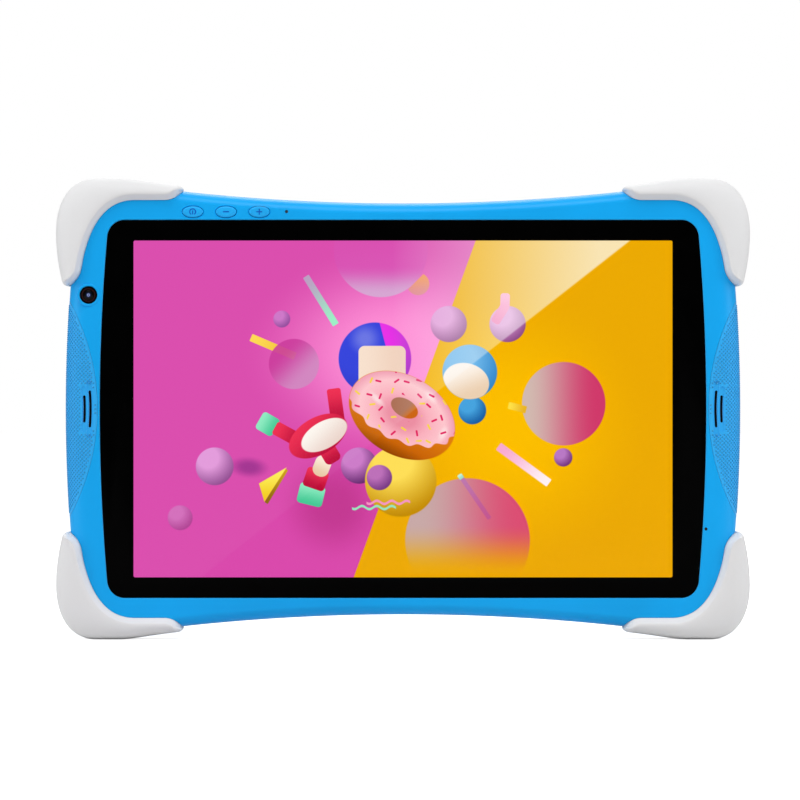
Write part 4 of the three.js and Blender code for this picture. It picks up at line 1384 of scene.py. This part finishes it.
def corner_bumper(name):
    """The upper left bumper: a tube of sections from its inner edge, over its front, side and back."""
    look = bpy.context.scene.tablet_bumpers
    inner, outer = bumper_edges()
    inner = np.vstack([inner, [SIDE_TIP]])
    outer = np.vstack([outer, [TOP_TIP]])[::-1]
    turn = np.linspace(TIP_START, math.pi - TIP_START, SECTIONS)
    shares = (1 - np.cos(turn)) / 2
    starts, ends = along(inner, shares), along(outer, shares)
    run = np.gradient(starts, axis=0)
    run /= np.linalg.norm(run, axis=1, keepdims=True)
    outwards = np.stack([run[:, 1], -run[:, 0]], axis=1)
    reach = np.linalg.norm(ends - starts, axis=1)
    outwards *= np.sign(((ends - starts) * outwards).sum(1))[:, None]
    width = np.minimum(look.bevel / MM, 0.5 * reach)
    ridge_points = starts + outwards * width[:, None]
    front = bumper_half(starts, ends, ridge_points, True, look)
    back = bumper_half(starts, ends, ridge_points, False, look)
    loop = [np.column_stack([place, z]) for place, z in front]
    loop += [np.column_stack([place, -z]) for place, z in back[::-1]]
    bumper = outward(loft(name, list(np.stack(loop, axis=1))))
    return cut(bumper, shell_slab("shell", SEAT - BUMPER_GAP))


class TABLET_OT_bumpers(bpy.types.Operator):
    """Make the four soft corner bumpers"""

    bl_idname = "tablet.bumpers"
    bl_label = "Corner Bumpers"

    def execute(self, context):
        silicone = white_silicone()
        corners = {"top_left": (False, False), "top_right": (True, False),
                   "bottom_left": (False, True), "bottom_right": (True, True)}
        model = corner_bumper("bumper_model")
        for corner, (flip_x, flip_y) in corners.items():
            bumper = mirror_image(model, f"soft_bumper_{corner}", flip_x, flip_y)
            finish_piece(bumper, silicone, "white_bumper", f"bumper_{corner}", angle=40)
        bpy.data.objects.remove(model)
        return {"FINISHED"}


# ---- Side grips ------------------------------------------------------------------------------------------


def grip_section(y):
    """The shell's left side at one height, from front to back, and how far each point is past the side."""
    edge = -side_x(y)
    angle = np.linspace(math.pi / 2, 0, 60)

    def roll(reach, belly, face):
        return np.column_stack([edge + reach * (1 - np.cos(angle)), belly + (face - belly) * np.sin(angle)])

    front, back, inner = SHELL["front"], SHELL["back"], edge + 30
    top = roll(SHELL["front_roll"][0], SHELL["parting"], front)
    low = roll(SHELL["back_roll"][0], SHELL["back_belly"], back)[::-1]
    line = np.vstack([[(inner, front)], top, low, [(inner, back)]])
    length = lengths_along(line)
    return line, length - length[len(top)]


DOT_ROWS_END = 48  # the rows' heights go from minus this to this
DOT_REACH = (-24, 30)  # along a section, from the edge of the side roll
DOT_MARGIN = 0.75


def dot_places(look):
    """Where the dots sit on the left grip, in rows that follow its side, and the way out at each."""
    pitch = look.pitch / MM
    places, ways = [], []
    rows = np.arange(-DOT_ROWS_END, DOT_ROWS_END + pitch / 4, pitch / 2)
    for number, y in enumerate(rows):
        line, length = grip_section(y)
        at = np.arange(*DOT_REACH, pitch) + pitch / 2 * (number % 2)
        x, z = (np.interp(at, length, line[:, k]) for k in (0, 1))
        run, rise = (np.interp(at + 0.05, length, line[:, k]) - here for k, here in ((0, x), (1, z)))
        size = np.hypot(run, rise)
        way = np.column_stack([rise / size, np.zeros(len(at)), run / size])
        radius = np.hypot(x + GRIP_CENTRE, y)
        inward = GRIP_CENTRE - radius
        bare = (abs(y) < SLOT_FIELD["half_length"]) & (z > SLOT_FIELD["above"])
        bare &= (inward > SLOT_FIELD["from"]) & (inward < SLOT_FIELD["to"])
        keep = (radius < GRIP_RADIUS - DOT_MARGIN) & ~bare
        places.append(np.column_stack([x, np.full(len(at), y), z])[keep])
        ways.append(way[keep])
    return np.vstack(places), np.vstack(ways)


class TABLET_OT_side_grips(bpy.types.Operator):
    """Make the two side grips: a thin skin covered in fine raised dots, with two speaker slots"""

    bl_idname = "tablet.side_grips"
    bl_label = "Side Grips"

    def execute(self, context):
        look = context.scene.tablet_grips
        rubber = blue_grip_rubber()
        skin = common(shell_slab("skin", -GRIP_PROUD, steps=20), grip_region("grip_region"))
        cut(skin, shell_slab("inside", GRIP_THICK))
        for x, half, groove_half in SLOTS:
            groove = arc_strip("groove", x, groove_half, GROOVE_WIDTH, SLOT_FLOOR, FAR)
            cut(skin, cut(groove, shell_slab("under_groove", GROOVE_DEPTH)))
            cut(skin, slot_tool(x, half))
        places, ways = dot_places(look)
        # The dots get a darker copy of the rubber: painted shade for the shadow between them.
        deep = blue_grip_rubber("blue_grip_dots", look.dot_painted_shade)
        values = {"Dot Width": look.dot_width, "Dot Height": look.dot_height, "Material": deep}
        dots = grown("dots", stand(places), directions(ways), dot_tree(), values)
        smooth(coat(skin, rubber))
        left = joined([skin, dots], "dotted_grip_left")
        right = mirror_image(left, "dotted_grip_right", flip_x=True)
        for piece, node in ((left, "side_grip_left"), (right, "side_grip_right")):
            stands_for(piece, "blue_grip", node)
        return {"FINISHED"}


# ---- Display ---------------------------------------------------------------------------------------------


class TABLET_OT_display(bpy.types.Operator):
    """Make the cover glass with its black border, and light the display behind it"""

    bl_idname = "tablet.display"
    bl_label = "Display"

    def execute(self, context):
        back, front = GLASS_LOW[2], GLASS_HIGH[2]
        levels = [(-0.2, back), (0.0, back + 0.2), (0.0, front - 0.3), (-0.08, front - 0.12), (-0.3, front)]
        border = stack("glass_with_border", glass_outline(), levels)
        window = rounded_rectangle(*picture_size(context.scene.tablet_display), 0.8)
        cut(border, extrude("window", window, 0, FAR))
        coat(border, black_border())
        pane = stack("pane", window, [(0, front - 0.2), (0, front)], clear_glass())
        glass = joined([smooth(border), pane], "cover_glass_with_border")
        stands_for(glass, "cover_glass", "cover_glass")
        dress("display_cell", lit_picture())
        return {"FINISHED"}


# ---- Cameras ---------------------------------------------------------------------------------------------


def lens_painted_reflections(name, x, y, radius):
    """Black coated glass with painted reflections in rings round the camera's axis: a blue glint with a pale
    highlight ring at the middle, and a faint reddish reflected ring near the rim.
    """
    finish = Finish(name, Specular_IOR_Level=0.12)
    place = finish.place()
    across = finish.part(place, 0) / MM - x
    up = finish.part(place, 2) / MM - (MIDDLE / MM + y)
    gap = (across * across + up * up).maths("SQRT") / radius
    colour = finish.ramp(gap, [(at, tint(code)) for at, code in LENS_PAINTED_REFLECTION_STOPS])
    return finish.wear(Base_Color=colour, Roughness=finish.noise(3, 2) * 0.04 + 0.08).material


# Painted reflections on the black lens: a blue glint with a pale highlight ring in the middle, and a faint
# reddish reflected ring towards the rim.
LENS_PAINTED_REFLECTION_STOPS = [
    (0.0, "18224c"), (0.06, "2c3c78"), (0.12, "a4b2dc"), (0.17, "4a5c98"), (0.26, "10152c"), (0.4, "05060c"),
    (0.6, "000000"), (0.66, "1a0d0d"), (0.74, "361618"), (0.82, "0c0607"), (1.0, "010101"),
]


def camera_profile(radius, face, toward):
    """A window's section, from its rim to a small dome at its middle, on the side that faces out."""
    rim = [(radius, -0.85), (radius, -0.12), (radius - 0.12, 0.0)]
    groove = [(0.66, 0.0), (0.62, -0.25), (0.56, -0.25), (0.5, -0.1)]
    dome = [(0.36, 0.02), (0.2, 0.08), (0.02 / radius, 0.1)]
    steps = rim + [(share * radius, z) for share, z in groove + dome]
    profile = [(r, face + toward * z) for r, z in steps]
    return profile if toward > 0 else profile[::-1]


def camera_window(name, node, toward):
    """A camera's window, facing the viewer where toward is 1 and the back where it is -1."""
    low, high = node_box(node)
    x, y = node_middle(node)[:2]
    radius = (high[0] - low[0]) / 2
    face = high[2] if toward > 0 else low[2]
    # The lens's colour carries painted reflections and a painted highlight.
    glass = lens_painted_reflections(f"{name}_glass", x, y, radius)
    lens = outward(revolve(name, camera_profile(radius, face - toward * 0.1, toward), x, y, 64))
    return finish_piece(lens, glass, "lens_glass", node, angle=40)


class TABLET_OT_cameras(bpy.types.Operator):
    """Make the front and rear camera windows with their lenses"""

    bl_idname = "tablet.cameras"
    bl_label = "Cameras"

    def execute(self, context):
        camera_window("front_camera_lens", "front_camera_window", 1)
        camera_window("rear_camera_lens", "rear_camera_window", -1)
        return {"FINISHED"}


# ---- Keys ------------------------------------------------------------------------------------------------


BAR_LENGTH, BAR_WIDTH = 2.5, 0.45
SYMBOL_RADIUS = 1.9  # every symbol fits inside it


def power_symbol(x, y, back):
    """A broken ring with a stroke in the gap."""
    ring = cut(pipe(1.4, back, FAR, x, y, 48), pipe(0.98, -FAR, 2 * FAR, x, y, 48))
    notch = rounded_rectangle(1.2, 1.6, 0.1) + (x, y - 1.3)
    stroke = rounded_rectangle(0.42, 1.7, 0.2) + (x, y - 0.25)
    cut(ring, extrude("notch", notch, -FAR, 2 * FAR))
    return [ring, extrude("stroke", stroke, back, FAR)]


def minus_symbol(x, y, back):
    return [extrude("bar", rounded_rectangle(BAR_LENGTH, BAR_WIDTH, 0.2) + (x, y), back, FAR)]


def plus_symbol(x, y, back):
    upright = rounded_rectangle(BAR_WIDTH, BAR_LENGTH, 0.2) + (x, y)
    return [*minus_symbol(x, y, back), extrude("bar", upright, back, FAR)]


CAP_BACK = 5.9
# A cap's rounded edge: how far inwards, and how far below the top.
CROWN = ((0, 0.5), (0.06, 0.32), (0.2, 0.18), (0.45, 0.08), (0.8, 0.03), (1.3, 0))


def paint_shade_in_symbol(cap, x, y, top, depth, paint):
    """Paints the floor and walls of a key's engraving darker, as painted shade for the recess."""
    cap.data.materials.append(paint)
    for face in cap.data.polygons:
        across, away, up = face.center
        inside = math.hypot(across / MM - x, (up - MIDDLE) / MM - y) < SYMBOL_RADIUS
        if inside and top - 1.1 * depth < -away / MM < top - 0.3 * depth:
            face.material_index = 1


class TABLET_OT_keys(bpy.types.Operator):
    """Make the three oval keys with their engraved symbols, each on its own switch"""

    bl_idname = "tablet.keys"
    bl_label = "Keys"

    def execute(self, context):
        depth = context.scene.tablet_keys.engraving / MM
        plastic = blue_key_plastic()
        # Darker blue for the engravings: painted shade in the recesses.
        paint = symbol_painted_shade()
        symbols = {"power": power_symbol, "volume_down": minus_symbol, "volume_up": plus_symbol}
        for body, name in KEYS.items():
            node = f"{name}_button"
            x, y = node_middle(node)[:2]
            top = node_box(node)[1][2]
            levels = [(0, CAP_BACK)] + [(-inward, top - drop) for inward, drop in CROWN]
            cap = stack(f"{name}_key_cap", cap_outline(name), levels)
            merged(cap, pipe(1.2, 4.65, 6.2, x, y))
            merged(cap, extrude("ears", rounded_rectangle(10.6, 2.2, 1) + (x, y), 5.45, 6.25))
            for tool in symbols[name](x, y, top - depth):
                cut(cap, tool)
            finish_piece(cap, plastic, "blue_key", node, body=body, angle=40)
            paint_shade_in_symbol(cap, x, y, top, depth, paint)
        return {"FINISHED"}


# ---- Screws ----------------------------------------------------------------------------------------------


SCREW_HEAD = 1.2


def screw_model():
    """A pan-head screw with a crossed recess, its head at the top of its z axis, in metres."""
    shank = [(0.9, -10.5), (0.9, 0.0)]
    head = [(2.1, 0.0), (2.1, 0.75), (1.95, 1.02), (1.6, 1.18), (0.8, SCREW_HEAD)]
    screw = revolve("screw_model", shank + head, count=24)
    for size in ((2.3, 0.5), (0.5, 2.3)):
        cut(screw, extrude("bar", rounded_rectangle(*size, 0.12), 0.5, 3))
    points = np.empty(len(screw.data.vertices) * 3)
    screw.data.vertices.foreach_get("co", points)
    x, y, z = points.reshape(-1, 3).T
    screw.data.vertices.foreach_set("co", np.stack([x, z - MIDDLE, -y], axis=1).ravel())
    screw.data.update()
    return smooth(screw, 30)


class TABLET_OT_screws(bpy.types.Operator):
    """Set a crossed screw in each recess on the back"""

    bl_idname = "tablet.screws"
    bl_label = "Case Screws"

    def execute(self, context):
        model = screw_model()
        heads = node_box(SCREWS[0])[0][2] + SCREW_HEAD
        places = [(x, y, heads) for x, y in screw_places()]
        steel = metal("plated_screw_steel", tint("a9abb0"), 0.3)
        values = {"Model": model, "Size": 1.0, "Material": steel}
        ways = directions([(0, 0, -1)] * len(places))
        screws = grown("case_screws", stand(places), ways, placing_tree("screw_pattern"), values)
        bpy.data.objects.remove(model)
        stands_for(screws, "screw_steel", *SCREWS)
        return {"FINISHED"}


# ---- What is inside --------------------------------------------------------------------------------------


def black_plastic(name="black_moulded_plastic", roughness=0.5):
    """Plain black, for what is inside."""
    return moulded(name, tint("0b0b0c"), roughness, spread=0.15, Specular_IOR_Level=0.3)


class TABLET_OT_inside(bpy.types.Operator):
    """Give the parts inside the shell their finishes"""

    bl_idname = "tablet.inside"
    bl_label = "Inner Parts"

    def execute(self, context):
        pairs = lambda *names: [f"{name}_{side}" for name in names for side in ("left", "right")]
        board_screws = [f"board_screw_{i}" for i in range(1, 5)]
        switches, plungers = ([f"{name}_{kind}" for name in KEYS.values()] for kind in ("switch", "plunger"))
        film = moulded("amber_film", tint("c07f22"), 0.35, spread=0.12, Specular_IOR_Level=0.6)
        finishes = [
            (black_plastic("black_adhesive_film", 0.7), ["glass_adhesive"]),
            (metal("rolled_tray", tint("c6c8cb"), 0.4, (12, 1, 1)), ["backlight_tray", "mid_plate"]),
            (circuit_board("board_lacquer"), ["main_board", "button_board"]),
            (metal("tinned_plate", tint("b4b5b8"), 0.32), ["processor_shield", "usb_c_socket", "card_socket",
                                                           "microphone", *switches]),
            (printed_foil("battery_foil"), ["battery"]),
            (black_plastic(), ["headphone_socket", "front_camera_module", "rear_camera_module", *plungers,
                               *pairs("speaker")]),
            (woven_mesh("speaker_dust_mesh"), pairs("speaker_mesh")),
            (black_plastic("black_soft_rubber", 0.75), ["microphone_boot"]),
            (moulded("smoked_light_pipe", tint("15171a"), 0.12, Specular_IOR_Level=0.5),
             ["indicator_light_pipe"]),
            (film, ["wifi_antenna", "display_flex", "button_flex", "front_camera_flex"]),
            (moulded("red_wire_cover", tint("9c2420"), 0.4, spread=0.1), ["battery_lead"]),
            (black_plastic("black_wire_cover", 0.45), pairs("speaker_lead")),
            (metal("board_screw_steel", tint("a0a2a8"), 0.3), board_screws),
        ]
        for material, nodes in finishes:
            for node in nodes:
                dress(node, material)
        return {"FINISHED"}


# ---- Stage -----------------------------------------------------------------------------------------------


def soft_light(name, power, place, width, height):
    """A soft rectangle of light, aimed at the tablet's middle."""
    data = bpy.data.lights.new(name, "AREA")
    data.energy, data.shape, data.size, data.size_y = power, "RECTANGLE", width, height
    lamp = bpy.data.objects.new(name, data)
    bpy.context.scene.collection.objects.link(lamp)
    lamp.visible_camera = False
    lamp.location = place
    lamp.rotation_euler = (Vector((0, 0, MIDDLE)) - lamp.location).to_track_quat("-Z", "Y").to_euler()


def studio_air(look):
    """White to the eye, softer in reflections and as light."""
    world = bpy.data.worlds.new("studio_air")
    bpy.context.scene.world = world
    world.use_nodes = True
    nodes, links = world.node_tree.nodes, world.node_tree.links
    ray = nodes.new("ShaderNodeLightPath")
    mirrored, seen = nodes.new("ShaderNodeMix"), nodes.new("ShaderNodeMix")
    mirrored.inputs["A"].default_value = look.surround
    mirrored.inputs["B"].default_value = look.mirrored
    seen.inputs["B"].default_value = 1.0
    links.new(ray.outputs["Is Glossy Ray"], mirrored.inputs["Factor"])
    links.new(ray.outputs["Is Camera Ray"], seen.inputs["Factor"])
    links.new(mirrored.outputs["Result"], seen.inputs["A"])
    links.new(seen.outputs["Result"], nodes["Background"].inputs["Strength"])
    nodes["Background"].inputs["Color"].default_value = (1, 1, 1, 1)


FLOOR_REACH = 12.0
SENSOR = 36
VIEW_MIDDLE = (-0.0012, 0.0036)  # from the display's middle, across and up
VIEW_HALF_WIDTH, VIEW_DEPTH = 0.1608, 0.01  # half of what is seen across, at this far in front of the middle


class TABLET_OT_stage(bpy.types.Operator):
    """Make the pale floor, the soft lights and the camera"""

    bl_idname = "tablet.stage"
    bl_label = "Stage"

    def execute(self, context):
        look = context.scene.tablet_stage
        scene = context.scene
        scene.view_settings.view_transform = "Standard"
        mesh = bpy.data.meshes.new("pale_floor")
        corners = [(x * FLOOR_REACH, y * FLOOR_REACH, 0) for x, y in ((-1, -1), (1, -1), (1, 1), (-1, 1))]
        mesh.from_pydata(corners, [], [(0, 1, 2, 3)])
        floor = Finish("pale_floor", Roughness=0.9, Specular_IOR_Level=0.0, Emission_Strength=look.floor_glow)
        seen = floor.node("ShaderNodeLightPath")
        mottle = floor.mix(floor.noise(400, 2), tint("e0e0e0"), tint("e4e4e4"))
        floor.wear(Base_Color=mottle, Emission_Color=floor.mix(seen, tint("000000"), tint("ffffff")))
        mesh_piece("pale_floor", mesh, floor.material)
        studio_air(look)
        soft_light("light_above", look.key_light, (0.0, -0.7, 1.5), 1.6, 0.9)
        soft_light("light_left", look.fill_light, (-1.6, -0.45, 0.5), 0.9, 1.2)
        soft_light("light_right", look.fill_light, (1.6, -0.45, 0.5), 0.9, 1.2)
        soft_light("light_behind", look.back_light, (0.0, 1.4, 1.3), 1.6, 0.9)
        camera = bpy.data.objects.new("camera", bpy.data.cameras.new("camera"))
        scene.collection.objects.link(camera)
        camera.location = (VIEW_MIDDLE[0], -look.distance, MIDDLE + VIEW_MIDDLE[1])
        camera.rotation_euler = (math.pi / 2, 0, 0)
        camera.data.sensor_width = SENSOR
        camera.data.lens = SENSOR / 2 * (look.distance - VIEW_DEPTH) / VIEW_HALF_WIDTH
        camera.data.clip_end = 30
        scene.camera = camera
        return {"FINISHED"}


# ---- Add-on ----------------------------------------------------------------------------------------------

SETTINGS = {
    "tablet_shell": TabletShellSettings,
    "tablet_bumpers": TabletBumperSettings,
    "tablet_grips": TabletGripSettings,
    "tablet_display": TabletDisplaySettings,
    "tablet_keys": TabletKeySettings,
    "tablet_stage": TabletStageSettings,
}
STEPS = (
    TABLET_OT_front_frame,
    TABLET_OT_rear_cover,
    TABLET_OT_bumpers,
    TABLET_OT_side_grips,
    TABLET_OT_display,
    TABLET_OT_cameras,
    TABLET_OT_keys,
    TABLET_OT_screws,
    TABLET_OT_inside,
    TABLET_OT_stage,
)


class TABLET_PT_build(bpy.types.Panel):
    """Lists the tablet's pieces and their settings"""

    bl_idname = "TABLET_PT_build"
    bl_label = "Kids Tablet"
    bl_space_type = "VIEW_3D"
    bl_region_type = "UI"
    bl_category = "Tablet"

    def draw(self, context):
        for step in STEPS:
            self.layout.operator(step.bl_idname)
        for name, group in SETTINGS.items():
            box = self.layout.box()
            box.label(text=name.replace("tablet_", "").capitalize())
            for setting in group.__annotations__:
                box.prop(getattr(context.scene, name), setting)


def register():
    for group in (*SETTINGS.values(), *STEPS, TABLET_PT_build):
        bpy.utils.register_class(group)
    for name, group in SETTINGS.items():
        setattr(bpy.types.Scene, name, PointerProperty(type=group))


def unregister():
    for name in SETTINGS:
        delattr(bpy.types.Scene, name)
    for group in (TABLET_PT_build, *STEPS[::-1], *SETTINGS.values()):
        bpy.utils.unregister_class(group)


def main():
    """Registers the add-on and makes every piece in order."""
    register()
    for step in STEPS:
        family, name = step.bl_idname.split(".")
        getattr(getattr(bpy.ops, family), name)()


if __name__ == "__main__":
    main()
